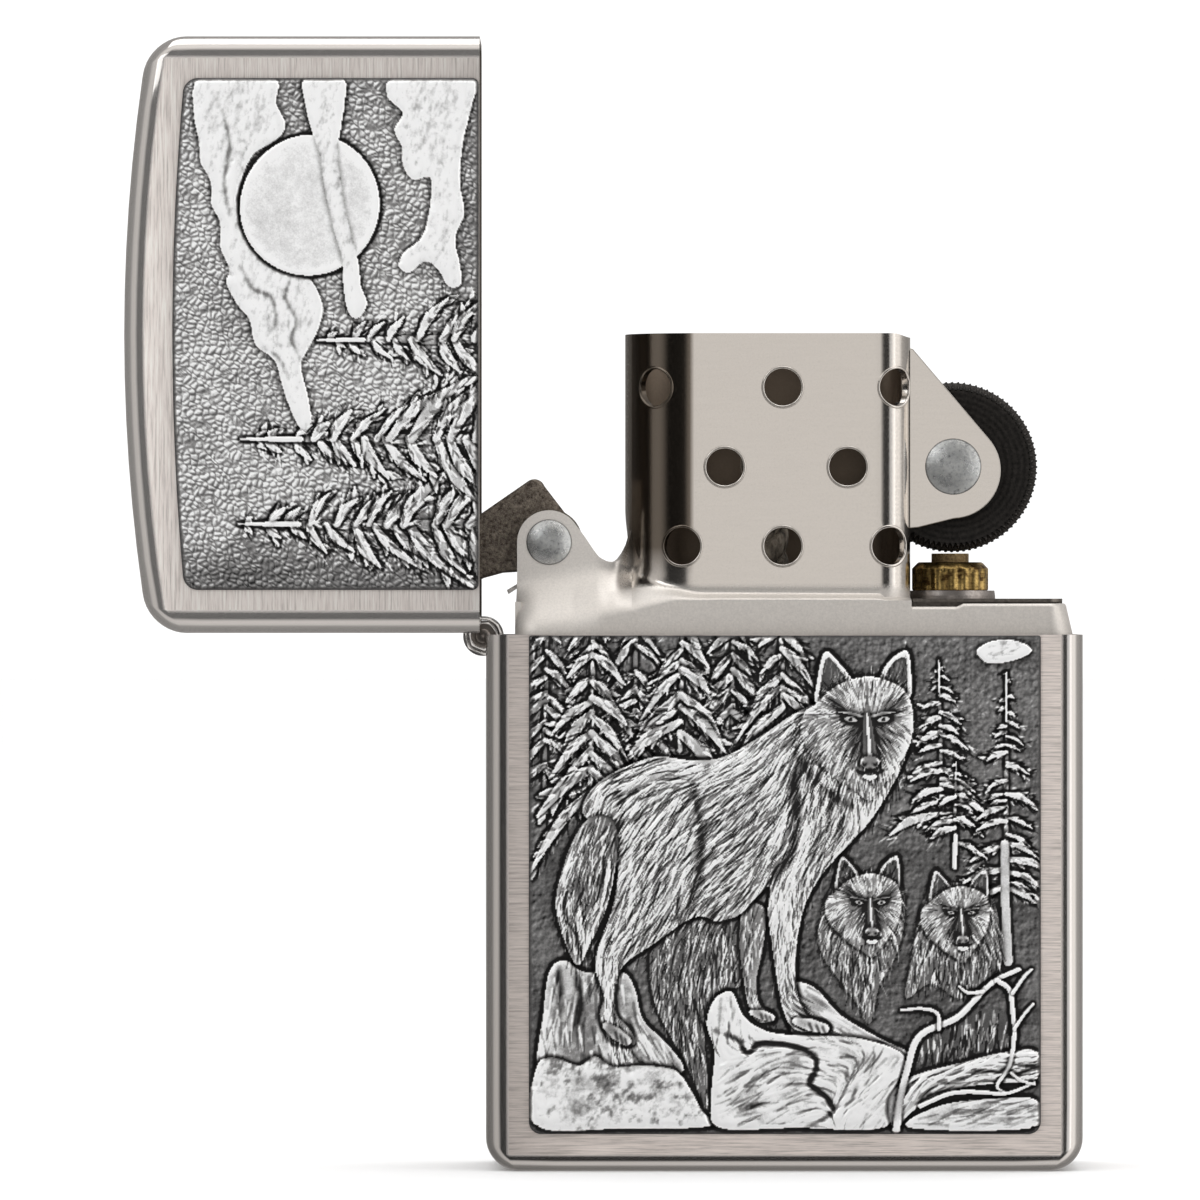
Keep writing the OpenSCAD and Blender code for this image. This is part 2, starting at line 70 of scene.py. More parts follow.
# Radii of the case and lid: upright corners, then ends and faces of the foot and of the lid's top
EDGE_R = 1.5
FOOT_R = 2.1
FACE_R = 1.1
CROWN_R = 2.4
TOP_R = 1.4

LID_LOW, LID_HIGH = box_mm("lid_shell")
PIN_LOW, PIN_HIGH = box_mm("hinge_pin")
HINGE_X = (PIN_LOW[0] + PIN_HIGH[0]) / 2
HINGE_Z = (PIN_LOW[2] + PIN_HIGH[2]) / 2
BARREL_LEN = PIN_HIGH[1] - PIN_LOW[1] + 0.4
KNUCKLE_R = 1.27
# The lid's top and rim, measured as if it were shut
SHUT_TOP = HINGE_Z + (HINGE_X - LID_LOW[0])
SHUT_RIM = HINGE_Z + (HINGE_X - LID_HIGH[0])
DOME_RISE = 1.2

rng = np.random.default_rng(SEED)


def opened(points):
    """Turns shut-lid points by 90 degrees about the hinge, to where the lid stands at rest."""
    x, y, z = points.T
    return np.column_stack([HINGE_X - (z - HINGE_Z), y, HINGE_Z + (x - HINGE_X)])


# ------------------------------------------------------------ mesh helpers
def mesh_object(name, points, faces, material, body, replaced=(), values=None):
    """Makes a piece from points in millimetres; values are named numbers for each point."""
    mesh = bpy.data.meshes.new(name)
    mesh.from_pydata([tuple(p) for p in np.asarray(points) * MM], [], [tuple(f) for f in faces])
    mesh.validate()
    for key, numbers in (values or {}).items():
        layer = mesh.attributes.new(key, "FLOAT", "POINT")
        layer.data.foreach_set("value", np.asarray(numbers, dtype=np.float32))
    mesh.shade_smooth()
    piece = bpy.data.objects.new(name, mesh)
    bpy.context.scene.collection.objects.link(piece)
    piece.data.materials.append(material)
    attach(piece, body)
    if replaced:
        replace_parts(piece, *replaced)
    return piece


def grid_faces(rows, columns, closed=False, flip=False):
    """Quads between rows of points; a closed grid joins each row's last point to its first."""
    faces = []
    last = columns if closed else columns - 1
    for r in range(rows - 1):
        for c in range(last):
            a = r * columns + c
            b = r * columns + (c + 1) % columns
            quad = (a, b, b + columns, a + columns)
            faces.append(quad[::-1] if flip else quad)
    return faces


def rounded_plan(half_w, half_d, radius, steps=10, along=12):
    """Outline of a round-cornered rectangle seen from above, anticlockwise from its right side.

    Also gives, for each point, how far round its corner it is (0 on a straight, 1 in mid corner)
    and how squarely it faces the narrow sides (0 to 1).
    """
    starts = (0, 90, 180, 270)
    signs = ((1, 1), (-1, 1), (-1, -1), (1, -1))
    corners = [
        arc(sx * (half_w - radius), sy * (half_d - radius), radius, start, start + 90, steps)
        for start, (sx, sy) in zip(starts, signs)
    ]
    points = []
    bend = []
    side = []
    for start, corner, following in zip(starts, corners, corners[1:] + corners[:1]):
        points.extend(corner)
        bend.extend(np.sin(np.linspace(0, np.pi, steps + 1)))
        side.extend(np.abs(np.cos(np.radians(np.linspace(start, start + 90, steps + 1)))))
        points.extend(between(corner[-1], following[0], t) for t in np.arange(1, along) / along)
        bend.extend([0.0] * (along - 1))
        side.extend([side[-1]] * (along - 1))
    return np.array(points), np.array(bend), np.array(side)


def shell_skin(inset, rim, floor_z, end_r, face_r, dome):
    """One skin of the case or lid as rings: straight walls from the rim, then the round end.

    floor_z is the height of the closed end, end_r and face_r the radii at its narrow sides and
    broad faces. dome gives the end's height above floor_z for each x. The end can be above or
    below the rim. Also gives how polished each point is.
    """
    wall_rows = 12
    turn_rows = 10
    up = 1 if floor_z > rim else -1
    half_w = CASE_W / 2 - inset
    half_d = CASE_D / 2 - inset
    end_r = end_r - inset
    face_r = max(face_r - inset, 0.25)
    base_r = EDGE_R - inset * 0.8
    plan, bend, side = rounded_plan(half_w, half_d, base_r)
    depth_r = face_r + (end_r - face_r) * side
    upright = np.where(bend > 0.01, 1.0, 0.0)
    flat = np.zeros(len(plan))

    def end_height(x):
        return floor_z + up * dome(x)

    rings = []
    knee = end_height(plan[:, 0]) - up * depth_r
    for i in range(wall_rows):
        rings.append(np.column_stack([plan, rim + (knee - rim) * (i / wall_rows)]))
    polish = [upright] * wall_rows
    for angle in np.linspace(0, math.pi / 2, turn_rows + 1):
        shrink = 1 - math.cos(angle)
        ring_plan, _, _ = rounded_plan(
            half_w - end_r * shrink, half_d - face_r * shrink, base_r * (1 - 0.75 * shrink)
        )
        z = end_height(ring_plan[:, 0]) - up * depth_r * (1 - math.sin(angle))
        rings.append(np.column_stack([ring_plan, z]))
    polish += [upright] + [flat + 1.0] * (turn_rows - 1) + [flat]
    last = rings[-1]
    for share in (0.985, 0.9, 0.7, 0.45, 0.2):
        inward = last[:, :2] * share
        rings.append(np.column_stack([inward, end_height(inward[:, 0])]))
        polish.append(flat)
    return rings, polish


def shell_object(name, rim, floor_z, end_r, face_r, material, body, replaced, dome, place=np.array):
    """A drawn sheet shell: outer skin, rim and inner skin in one closed mesh."""
    up = 1 if floor_z > rim else -1
    outer, outer_polish = shell_skin(0.0, rim, floor_z, end_r, face_r, dome)
    inner, inner_polish = shell_skin(WALL, rim, floor_z - up * WALL, end_r, face_r, dome)
    rings = outer[::-1] + inner
    columns = len(rings[0])
    points = np.vstack(rings)
    faces = grid_faces(len(rings), columns, closed=True, flip=up > 0)
    first = tuple(range(columns))
    last = tuple(range(len(points) - columns, len(points)))
    faces += [first[::-1], last] if up < 0 else [first, last[::-1]]
    values = {
        "polish": np.concatenate(outer_polish[::-1] + inner_polish),
        "inner": np.repeat([0.0, 1.0], [len(outer) * columns, len(inner) * columns]),
    }
    piece = mesh_object(name, place(points), faces, material, body, [replaced], values)
    piece.data.set_sharp_from_angle(angle=math.radians(SHARP))
    return piece


def tube_mesh(path, radius, sides=8, closed=False):
    """Points and faces of a round tube along a path of points."""
    path = np.asarray(path, dtype=float)
    count = len(path)
    points = []
    normal = None
    for i in range(count):
        before = path[(i - 1) % count] if closed or i > 0 else path[i]
        after = path[(i + 1) % count] if closed or i < count - 1 else path[i]
        along = after - before
        along /= np.linalg.norm(along)
        if normal is None:
            helper = np.array([0.0, 0.0, 1.0]) if abs(along[2]) < 0.9 else np.array([0.0, 1.0, 0.0])
            normal = np.cross(along, helper)
        normal = normal - along * np.dot(normal, along)
        normal /= np.linalg.norm(normal)
        other = np.cross(along, normal)
        for j in range(sides):
            angle = 2 * math.pi * j / sides
            points.append(path[i] + radius * (math.cos(angle) * normal + math.sin(angle) * other))
    faces = grid_faces(count, sides, closed=True)
    if closed:
        base = (count - 1) * sides
        for j in range(sides):
            k = (j + 1) % sides
            faces.append((base + j, base + k, k, j))
    else:
        faces.append(tuple(range(sides))[::-1])
        faces.append(tuple(range((count - 1) * sides, count * sides)))
    return np.array(points), faces


# --------------------------------------------------------------- materials
class Graph:
    """Adds shader nodes to a node tree; a source is an output socket or, in maths, a number."""

    def __init__(self, tree):
        self.tree = tree

    def node(self, kind):
        return self.tree.nodes.new("ShaderNode" + kind)

    def feed(self, socket, item):
        """Links a source to an input, or sets the input to a number or a colour."""
        if isinstance(item, bpy.types.NodeSocket):
            self.tree.links.new(item, socket)
        elif isinstance(item, tuple):
            socket.default_value = (*item, 1.0)
        else:
            socket.default_value = item

    def feed_all(self, node, keys, items):
        for key, item in zip(keys, items):
            self.feed(node.inputs[key], item)

    def maths(self, operation, *items):
        node = self.node("Math")
        node.operation = operation
        self.feed_all(node, range(3), items)
        return node.outputs["Value"]

    def ramp(self, source, stops):
        node = self.node("ValToRGB")
        marks = node.color_ramp.elements
        while len(marks) < len(stops):
            marks.new(0.5)
        for mark, (position, colour) in zip(marks, stops):
            mark.position = position
            mark.color = (*colour, 1.0)
        self.feed(node.inputs["Fac"], source)
        return node.outputs["Color"]


class Look(Graph):
    """One procedural material, put together step by step."""

    def __init__(self, name, colour, metallic=1.0, roughness=0.3):
        self.material = bpy.data.materials.new(name)
        self.material.use_nodes = True
        super().__init__(self.material.node_tree)
        self.shader = self.tree.nodes["Principled BSDF"].inputs
        self.shader["Base Color"].default_value = (*colour, 1.0)
        self.shader["Metallic"].default_value = metallic
        self.shader["Roughness"].default_value = roughness
        self.place = self.node("TexCoord").outputs

    def value(self, attribute):
        node = self.node("Attribute")
        node.attribute_name = attribute
        return node.outputs["Fac"]

    def noise(self, per_mm, stretch=(1.0, 1.0, 1.0), detail=3.0, rough=0.55):
        """Noise with about per_mm waves in each millimetre, scaled along each axis by stretch."""
        mapping = self.node("Mapping")
        mapping.inputs["Scale"].default_value = [per_mm / MM * s for s in stretch]
        self.feed(mapping.inputs["Vector"], self.place["Object"])
        node = self.node("TexNoise")
        node.inputs["Scale"].default_value = 1.0
        node.inputs["Detail"].default_value = detail
        node.inputs["Roughness"].default_value = rough
        self.feed(node.inputs["Vector"], mapping.outputs["Vector"])
        return node.outputs["Fac"]

    def cells(self, per_mm):
        node = self.node("TexVoronoi")
        node.inputs["Scale"].default_value = per_mm / MM
        self.feed(node.inputs["Vector"], self.place["Object"])
        return node.outputs["Distance"]

    def axis(self, letter, of="Object"):
        """Distance along an axis in metres, or with of="Normal" the way a face looks."""
        split = self.node("SeparateXYZ")
        self.feed(split.inputs[0], self.place[of])
        return split.outputs["xyz".index(letter)]

    def facing(self, letter):
        """1 on faces square to an axis, 0 elsewhere."""
        return self.remap(self.maths("ABSOLUTE", self.axis(letter, "Normal")), 0.6, 0.8, 0.0, 1.0)

    def remap(self, source, low, high, to_low, to_high):
        node = self.node("MapRange")
        keys = ("Value", "From Min", "From Max", "To Min", "To Max")
        self.feed_all(node, keys, (source, low, high, to_low, to_high))
        return node.outputs["Result"]

    def spread(self, source, to_low, to_high):
        """A noise's usual run, 0.3 to 0.7, stretched to other limits."""
        return self.remap(source, 0.3, 0.7, to_low, to_high)

    def mix(self, share, first, second):
        """Colour between first and second by share."""
        node = self.node("Mix")
        node.data_type = "RGBA"
        self.feed_all(node, (0, 6, 7), (share, first, second))
        return node.outputs[2]

    def blend(self, share, first, second):
        """Number between first and second by share."""
        node = self.node("Mix")
        self.feed_all(node, (0, 2, 3), (share, first, second))
        return node.outputs[0]

    def colour(self, source):
        self.feed(self.shader["Base Color"], source)

    def roughness(self, source):
        self.feed(self.shader["Roughness"], source)

    def metallic(self, source):
        self.feed(self.shader["Metallic"], source)

    def bump(self, source, depth_mm, strength=1.0):
        node = self.node("Bump")
        node.inputs["Strength"].default_value = strength
        node.inputs["Distance"].default_value = depth_mm * MM
        self.feed(node.inputs["Height"], source)
        self.feed(self.shader["Normal"], node.outputs["Normal"])


def brushed_nickel(name, across, tint, polish_metallic, wear):
    """Nickel plate: brushed on the flats, polished where it bends, rougher inside and painted dark there as
    shade.

    The brushing lines are stacked along one axis, and across y on faces square to that axis.
    wear lists (distance from the hinge in mm, brightness there) for painted shade, which darkens the
    brushed colour towards the hinge.
    """
    look = Look(name, tint)
    fine = [0.3, 0.3, 0.3]
    fine["xyz".index(across)] = 8.0
    end_on = look.facing(across)

    def brushing(stretch, end_stretch, detail, rough):
        flat = look.noise(1.0, stretch, detail, rough)
        return look.blend(end_on, flat, look.noise(1.0, end_stretch, detail, rough))

    lines = brushing(fine, (0.3, 8.0, 0.3), 4.0, 0.7)
    bands = brushing([f * 0.3 for f in fine], (0.1, 2.4, 0.1), 2.0, 0.55)
    fine_lines = look.remap(lines, 0.36, 0.64, 0.6, 1.35)
    streak = look.maths("MULTIPLY", fine_lines, look.spread(bands, 0.94, 1.06))
    dark = tuple(c * 0.7 for c in tint)
    bright = tuple(min(c * 1.18, 1.0) for c in tint)
    brushed = look.ramp(look.remap(streak, 0.6, 1.35, 0.0, 1.0), [(0.0, dark), (0.5, tint), (1.0, bright)])
    # Painted shade: the wear table darkens the brushed colour towards the hinge
    away = look.maths("ABSOLUTE", look.maths("SUBTRACT", look.axis("x"), HINGE_X * MM))
    away = look.remap(away, 0.0, CASE_W * MM, 0.0, 1.0)
    worn = look.ramp(away, [(mm / CASE_W, (share, share, share)) for mm, share in wear])
    brushed = look.mix(worn, (0.0, 0.0, 0.0), brushed)
    polish = look.value("polish")
    inner = look.value("inner")
    outside = look.mix(polish, brushed, (0.72, 0.69, 0.665))
    # Painted shade: the inner skin is coloured dark, as if little light got inside
    look.colour(look.mix(inner, outside, (0.2, 0.175, 0.15)))
    look.metallic(look.blend(inner, look.blend(polish, 0.45, polish_metallic), 0.6))
    scuffs = look.noise(1.2, detail=5.0)
    outside = look.blend(polish, look.spread(lines, 0.42, 0.3), look.spread(scuffs, 0.09, 0.15))
    look.roughness(look.blend(inner, outside, look.spread(scuffs, 0.34, 0.48)))
    look.bump(look.blend(polish, lines, 0.5), 0.02, 0.6)
    return look.material


def pewter(name, dark, middle, bright):
    """Cast relief: black patina left in the hollows, worn bright on the ridges, plus painted side light in
    its tone.
    """
    look = Look(name, middle, metallic=0.38)
    grain = look.noise(9.0, detail=4.0, rough=0.7)
    clouding = look.noise(1.1, detail=3.0)
    shade = look.maths("ADD", look.value("tone"), look.spread(grain, -0.07, 0.07))
    shade = look.maths("ADD", shade, look.spread(clouding, -0.04, 0.04))
    dusky = tuple(d * 0.6 + m * 0.4 for d, m in zip(dark, middle))
    look.colour(look.ramp(shade, [(0.0, dark), (0.3, dusky), (0.55, middle), (0.92, bright)]))
    look.roughness(look.remap(shade, 0.0, 1.0, 0.62, 0.36))
    look.bump(grain, 0.012, 0.5)
    return look.material


def sheet_steel(name, tint, roughness, satin_end=0.0, painted_dark_reflection=0.0):
    """Tumbled stainless sheet: fine even speckle and faint rolling lines.

    satin_end (0 to 1) dulls it towards the cam's end and below the chimney, where it was stretched;
    the last number (0 to 1) paints a dark reflection over the round end of the chimney on that side.
    """
    look = Look(name, tint)
    speckle = look.noise(7.0, detail=3.0, rough=0.8)
    lines = look.noise(1.0, (0.5, 0.5, 6.0), detail=3.0)
    shade = look.maths("ADD", look.spread(speckle, 0.2, 0.8), look.spread(lines, -0.04, 0.04))
    low = tuple(c * 0.89 for c in tint)
    high = tuple(min(c * 1.08, 1.0) for c in tint)

    def along(letter, start, end, at_start, at_end):
        return look.remap(look.axis(letter), start * MM, end * MM, at_start, at_end)

    by_cam = along("x", CHIMNEY_LEFT - 2.0, CHIMNEY_LEFT + 1.0, satin_end, 0.0)
    satin = look.maths("MAXIMUM", by_cam, along("z", 36.9, 37.5, satin_end * 0.8, 0.0))
    look.roughness(look.blend(satin, look.spread(speckle, roughness - 0.05, roughness + 0.07), 0.48))
    look.metallic(look.blend(satin, 1.0, 0.55))
    # Painted reflection: the chimney's round left end, high up, is coloured dark brown in place of a dark
    # reflection
    painted_reflection_mask = along("x", CHIMNEY_LEFT + 4.1, CHIMNEY_LEFT + 4.4, painted_dark_reflection, 0.0)
    painted_reflection_mask = look.maths("MULTIPLY", painted_reflection_mask, along("x", CHIMNEY_LEFT - 0.5, CHIMNEY_LEFT, 0.0, 1.0))
    painted_reflection_mask = look.maths("MULTIPLY", painted_reflection_mask, along("z", 38.0, 39.8, 0.0, 1.0))
    clean = look.ramp(shade, [(0.2, low), (0.8, high)])
    look.colour(look.mix(painted_reflection_mask, clean, (0.2, 0.17, 0.14)))
    look.bump(speckle, 0.006, 0.175)
    return look.material


def pitted_rivet(name):
    """Zinc-plated rivet head: bluish, slightly pitted, with a painted shadow line round its brim."""
    look = Look(name, (0.62, 0.64, 0.65), metallic=0.85)
    pits = look.noise(4.0, detail=6.0, rough=0.75)
    plate = look.ramp(pits, [(0.3, (0.2, 0.2, 0.2)), (0.43, (0.6, 0.61, 0.61)), (0.7, (0.82, 0.825, 0.8))])
    # Painted shadow: the brim ring is coloured near black, for the shade where the head meets the ear
    look.colour(look.mix(look.value("brim"), plate, (0.05, 0.045, 0.04)))
    look.roughness(look.spread(look.noise(0.8, detail=2.0), 0.22, 0.36))
    look.bump(pits, 0.04, 0.6)
    return look.material


def granular(name, dark, light, per_mm, depth):
    """Sintered or cast part with an even grain."""
    look = Look(name, dark, metallic=0.7)
    grain = look.noise(per_mm, rough=0.8)
    spots = look.cells(per_mm * 0.6)
    both = look.maths("ADD", look.spread(grain, 0.0, 0.75), look.remap(spots, 0.0, 0.8, 0.25, 0.0))
    look.colour(look.ramp(both, [(0.15, dark), (0.85, light)]))
    look.roughness(look.spread(grain, 0.62, 0.42))
    look.bump(both, depth, 0.8)
    return look.material


def toothed_steel(name):
    """Blackened file steel: turned rings on the sides, teeth worn bright at their tips."""
    look = Look(name, (0.02, 0.02, 0.02), metallic=0.7)
    grain = look.noise(4.0, detail=4.0, rough=0.8)
    rings = look.maths("SINE", look.maths("MULTIPLY", look.value("ring"), 16.0))
    shade = look.maths("ADD", look.spread(grain, 0.0, 0.4), look.maths("MULTIPLY", rings, 0.08))
    shade = look.maths("ADD", shade, look.remap(look.value("wear"), 0.35, 1.0, 0.0, 0.6))
    tones = [(0.0, (0.008, 0.007, 0.006)), (0.5, (0.045, 0.04, 0.036)), (1.0, (0.3, 0.28, 0.26))]
    look.colour(look.ramp(shade, tones))
    look.roughness(look.remap(shade, 0.0, 1.0, 0.6, 0.3))
    look.bump(shade, 0.05, 0.8)
    return look.material


def brass(name, fresh=(0.78, 0.55, 0.2), stain=(0.1, 0.055, 0.02), share=0.5):
    """Turned brass with brown tarnish in patches; share is how much of it is stained."""
    look = Look(name, fresh)
    patches = look.noise(1.3, detail=5.0, rough=0.7)
    marks = look.noise(1.0, (1.0, 1.0, 9.0))
    both = look.maths("ADD", look.spread(patches, 0.0, 0.8), look.spread(marks, 0.0, 0.2))
    look.colour(look.ramp(both, [(share - 0.25, stain), (share + 0.25, fresh)]))
    look.roughness(look.spread(patches, 0.45, 0.2))
    look.bump(marks, 0.01, 0.5)
    return look.material


def drawn_metal(name, tint, roughness):
    """Plain drawn or pressed metal with faint marks along it."""
    look = Look(name, tint)
    marks = look.noise(5.0, detail=4.0, rough=0.7)
    look.colour(look.ramp(marks, [(0.3, tuple(c * 0.7 for c in tint)), (0.7, tint)]))
    look.roughness(look.spread(marks, roughness + 0.12, roughness - 0.06))
    look.bump(marks, 0.008, 0.5)
    return look.material


def fibre(name, tint, per_mm, depth):
    """Cotton or felt: tangled fibres."""
    look = Look(name, tint, metallic=0.0, roughness=0.95)
    tangle = look.noise(per_mm, (1.0, 1.0, 0.35), detail=6.0, rough=0.75)
    look.colour(look.ramp(tangle, [(0.3, tuple(c * 0.62 for c in tint)), (0.65, tint)]))
    look.bump(tangle, depth)
    look.shader["Sheen Weight"].default_value = 0.3
    return look.material


def braid(name, tint):
    """Plaited cotton of the wick, with dark soot between its strands."""
    look = Look(name, tint, metallic=0.0, roughness=0.95)
    turned = look.noise(1.0, (2.2, 2.2, 1.1), detail=2.0)
    strands = look.noise(6.0, (1.0, 1.0, 0.4), detail=4.0)
    both = look.maths("ADD", look.remap(turned, 0.35, 0.65, 0.0, 0.6), look.spread(strands, 0.0, 0.4))
    look.colour(look.ramp(both, [(0.2, tuple(c * 0.25 for c in tint)), (0.8, tint)]))
    look.bump(both, 0.12)
    return look.material


# -------------------------------------------------------- shared mesh steps
def smooth(t):
    """Eases t from 0 to 1 with level ends."""
    t = np.clip(t, 0.0, 1.0)
    return t * t * (3 - 2 * t)


def between(a, b, t):
    """The point or number at share t of the way from a to b."""
    return np.asarray(a) + (np.asarray(b) - np.asarray(a)) * t


def settle(piece, sharp=None):
    """Applies a piece's modifiers to its mesh, and keeps edges sharper than the angle crisp."""
    graph = bpy.context.evaluated_depsgraph_get()
    done = bpy.data.meshes.new_from_object(piece.evaluated_get(graph))
    old = piece.data
    piece.modifiers.clear()
    piece.data = done
    bpy.data.meshes.remove(old)
    if sharp:
        done.set_sharp_from_angle(angle=math.radians(sharp))
    return piece


def thicken(piece, thickness, inner_material):
    """Gives a sheet its thickness, on the side its normals point away from."""
    solid = piece.modifiers.new("thickness", "SOLIDIFY")
    solid.thickness = thickness * MM
    solid.offset = -1.0
    piece.data.materials.append(inner_material)
    solid.material_offset = 1


def arc(cx, cz, radius, start, end, steps=12):
    """Points on a circle from one angle to another, in degrees."""
    angles = np.radians(np.linspace(start, end, steps + 1))
    return np.column_stack([cx + radius * np.cos(angles), cz + radius * np.sin(angles)])


def plate_piece(name, outline, y0, y1, material, body, edge=0.06, replaced=()):
    """A flat plate with an outline in x and z, between two depths, with rounded edges."""
    outline = np.asarray(outline)
    count = len(outline)
    points = []
    for y in (y0, y1):
        points.extend((x, y, z) for x, z in outline)
    front = tuple(range(count))
    back = tuple(range(2 * count - 1, count - 1, -1))
    faces = [front, back]
    for i in range(count):
        j = (i + 1) % count
        faces.append((j, i, i + count, j + count))
    piece = mesh_object(name, points, faces, material, body, replaced)
    bevel = piece.modifiers.new("round", "BEVEL")
    bevel.width = edge * MM
    bevel.segments = 3
    bevel.limit_method = "ANGLE"
    bevel.angle_limit = math.radians(40)
    flat = piece.modifiers.new("flat", "WEIGHTED_NORMAL")
    flat.weight = 90
    return settle(piece)


def lathe_piece(name, profile, centre, axis, material, body, replaced=(), sides=64, shape=None):
    """A turned piece: profile is a list of (radius, distance along the axis).

    shape(angle, distance) scales the radius, for flutes and teeth.
    """
    points = []
    angles = 2 * np.pi * np.arange(sides) / sides
    for radius, along in profile:
        scale = shape(angles, along) if shape else 1.0
        across = radius * scale
        flat = np.column_stack([across * np.cos(angles), across * np.sin(angles)])
        level = np.full((sides, 1), along)
        if axis == "z":
            ring = np.hstack([flat, level])
        else:
            ring = np.hstack([flat[:, :1], -level, flat[:, 1:]])
        points.append(ring + np.asarray(centre))
    turned_over = axis == "y"
    faces = grid_faces(len(profile), sides, closed=True, flip=turned_over)
    faces.append(tuple(range(sides))[:: 1 if turned_over else -1])
    faces.append(tuple(range((len(profile) - 1) * sides, len(profile) * sides))[:: -1 if turned_over else 1])
    piece = mesh_object(name, np.vstack(points), faces, material, body, replaced)
    return settle(piece, 32)


def joined(name, pieces):
    """Joins meshes that share a material into one piece, and drops the parts."""
    first = pieces[0]
    bpy.ops.object.select_all(action="DESELECT")
    for piece in pieces:
        piece.select_set(True)
    bpy.context.view_layer.objects.active = first
    bpy.ops.object.join()
    first.name = name
    return first


def cut_between(piece, near, far):
    """Cuts away what lies between two rings.

    Both run anticlockwise seen from the front, and near is the one with the lower y.
    """
    count = len(near)
    points = [*near, *far, tuple(np.mean(near, axis=0)), tuple(np.mean(far, axis=0))]
    faces = []
    for i in range(count):
        j = (i + 1) % count
        faces += [(j, i, i + count, j + count), (i, j, 2 * count), (j + count, i + count, 2 * count + 1)]
    mesh = bpy.data.meshes.new("cutter")
    mesh.from_pydata([tuple(np.array(p) * MM) for p in points], [], faces)
    cutter = bpy.data.objects.new("cutter", mesh)
    bpy.context.scene.collection.objects.link(cutter)
    cut = piece.modifiers.new("hole", "BOOLEAN")
    cut.object = cutter
    cut.operation = "DIFFERENCE"
    cut.solver = "EXACT"
    settle(piece, SHARP)
    bpy.data.objects.remove(cutter)


def barrel_notch(piece, body):
    """Cuts the gap for the hinge barrel in the left wall of the case, or of the lid drawn open."""
    clear = KNUCKLE_R + 0.09
    left = HINGE_X - 1.5
    right = -CASE_W / 2 + WALL + 0.02
    low, high = (HINGE_Z - clear, SEAM_Z + 1) if body == "case" else (SEAM_Z - 1, HINGE_Z + clear)
    corners = np.array([(left, 0, low), (right, 0, low), (right, 0, high), (left, 0, high)])
    if body == "lid":
        corners = opened(corners)
    half = BARREL_LEN / 2 + 0.2
    near, far = ([(x, y, z) for x, _, z in corners] for y in (-half, half))
    cut_between(piece, near, far)


# ------------------------------------------------------------ insert sheet
INSERT_LOW, INSERT_HIGH = box_mm("insert_shell")
SHEET = 0.4
TANK_HALF_D = INSERT_HIGH[1]
TANK_R = 1.5
TANK_FOOT = INSERT_LOW[2]
# A row of points in the plain part of the wall, inside the case
TANK_MID = 20.0
TANK_LEFT = INSERT_LOW[0]
TANK_RIGHT = INSERT_HIGH[0]
CHIMNEY_TOP = INSERT_HIGH[2]
CHIMNEY_HALF_D = 4.9
CHIMNEY_LEFT = -10.15
CHIMNEY_RIGHT = 8.1
LEFT_R = 4.4
RIGHT_R = 2.0
EAR_Y = 3.0
DECK_Z = box_mm("top_plate")[1][2]
RIM_Z = DECK_Z - 0.3
RIM_R = 0.3
CAM_RIVET_LOW, CAM_RIVET_HIGH = box_mm("cam_rivet")
CAM_X = (CAM_RIVET_LOW[0] + CAM_RIVET_HIGH[0]) / 2
CAM_Z = (CAM_RIVET_LOW[2] + CAM_RIVET_HIGH[2]) / 2
CAM_EAR_R = 2.05
WHEEL_LOW, WHEEL_HIGH = box_mm("spark_wheel")
WHEEL_X = (WHEEL_LOW[0] + WHEEL_HIGH[0]) / 2
WHEEL_Z = (WHEEL_LOW[2] + WHEEL_HIGH[2]) / 2
WHEEL_R = (WHEEL_HIGH[0] - WHEEL_LOW[0]) / 2
HOLE_R = 1.2
# Wind holes: distance along the sheet from the chimney's middle, and height
HOLE_ROWS = (50.0, 44.9, 39.85)
FRONT_HOLES = [(-8.45, 0), (-0.1, 0), (7.28, 0), (-3.8, 1), (4.05, 1), (-6.55, 2), (-0.1, 2), (6.79, 2)]
BACK_HOLES = [(-3.8, 0), (4.05, 0), (-8.1, 1), (-0.1, 1), (6.92, 1), (-3.3, 2), (3.1, 2)]


def sheet_column(tank, z_bend, upper, z_join, z_top):
    """One line of points up the insert's front: tank wall, shoulder, then the wall above."""
    points = []
    for z in (TANK_FOOT, TANK_MID, z_bend - 0.4, z_bend - 0.12):
        points.append((*tank, z))
    for t in np.linspace(0, 1, 10)[:-1]:
        x, y = between(tank, upper, smooth(t))
        points.append((x, y, between(z_bend, z_join, t)))
    for t in np.linspace(0, 1, 40):
        points.append((*upper, between(z_join, z_top, t)))
    return points


def bend_height(x):
    """Height at which the tank's face starts to lean in to the shoulder."""
    places = [-17.2, -13.5, -10.6, -8.3, -7.2, -4.0, 9.0]
    return np.interp(x, places, [34.2, 34.4, 35.3, 35.95, 36.3, 36.4, 36.4])


def join_height(x):
    """Height at which the shoulder has become the ear or the chimney's wall."""
    return np.interp(x, [-17.2, -11.6, -9.7, -7.6, -5.5, 9.0], [38.05, 39.05, 38.5, 37.5, 36.95, 36.85])


def ear_top(x):
    """Top edge of the cam ear's outline, from its round end down into the valley."""
    if x < CAM_X + CAM_EAR_R * math.cos(math.radians(35)):
        return CAM_Z + math.sqrt(max(CAM_EAR_R ** 2 - (x - CAM_X) ** 2, 0))
    return np.interp(
        x,
        [-13.35, -12.7, -12.1, -11.8, -11.4, -11.0, -10.6, -10.35, -10.15, -9.98, -9.74],
        [41.29, 40.4, 39.5, 39.15, 38.92, 38.84, 38.92, 39.15, 39.5, 39.95, 40.9],
    )


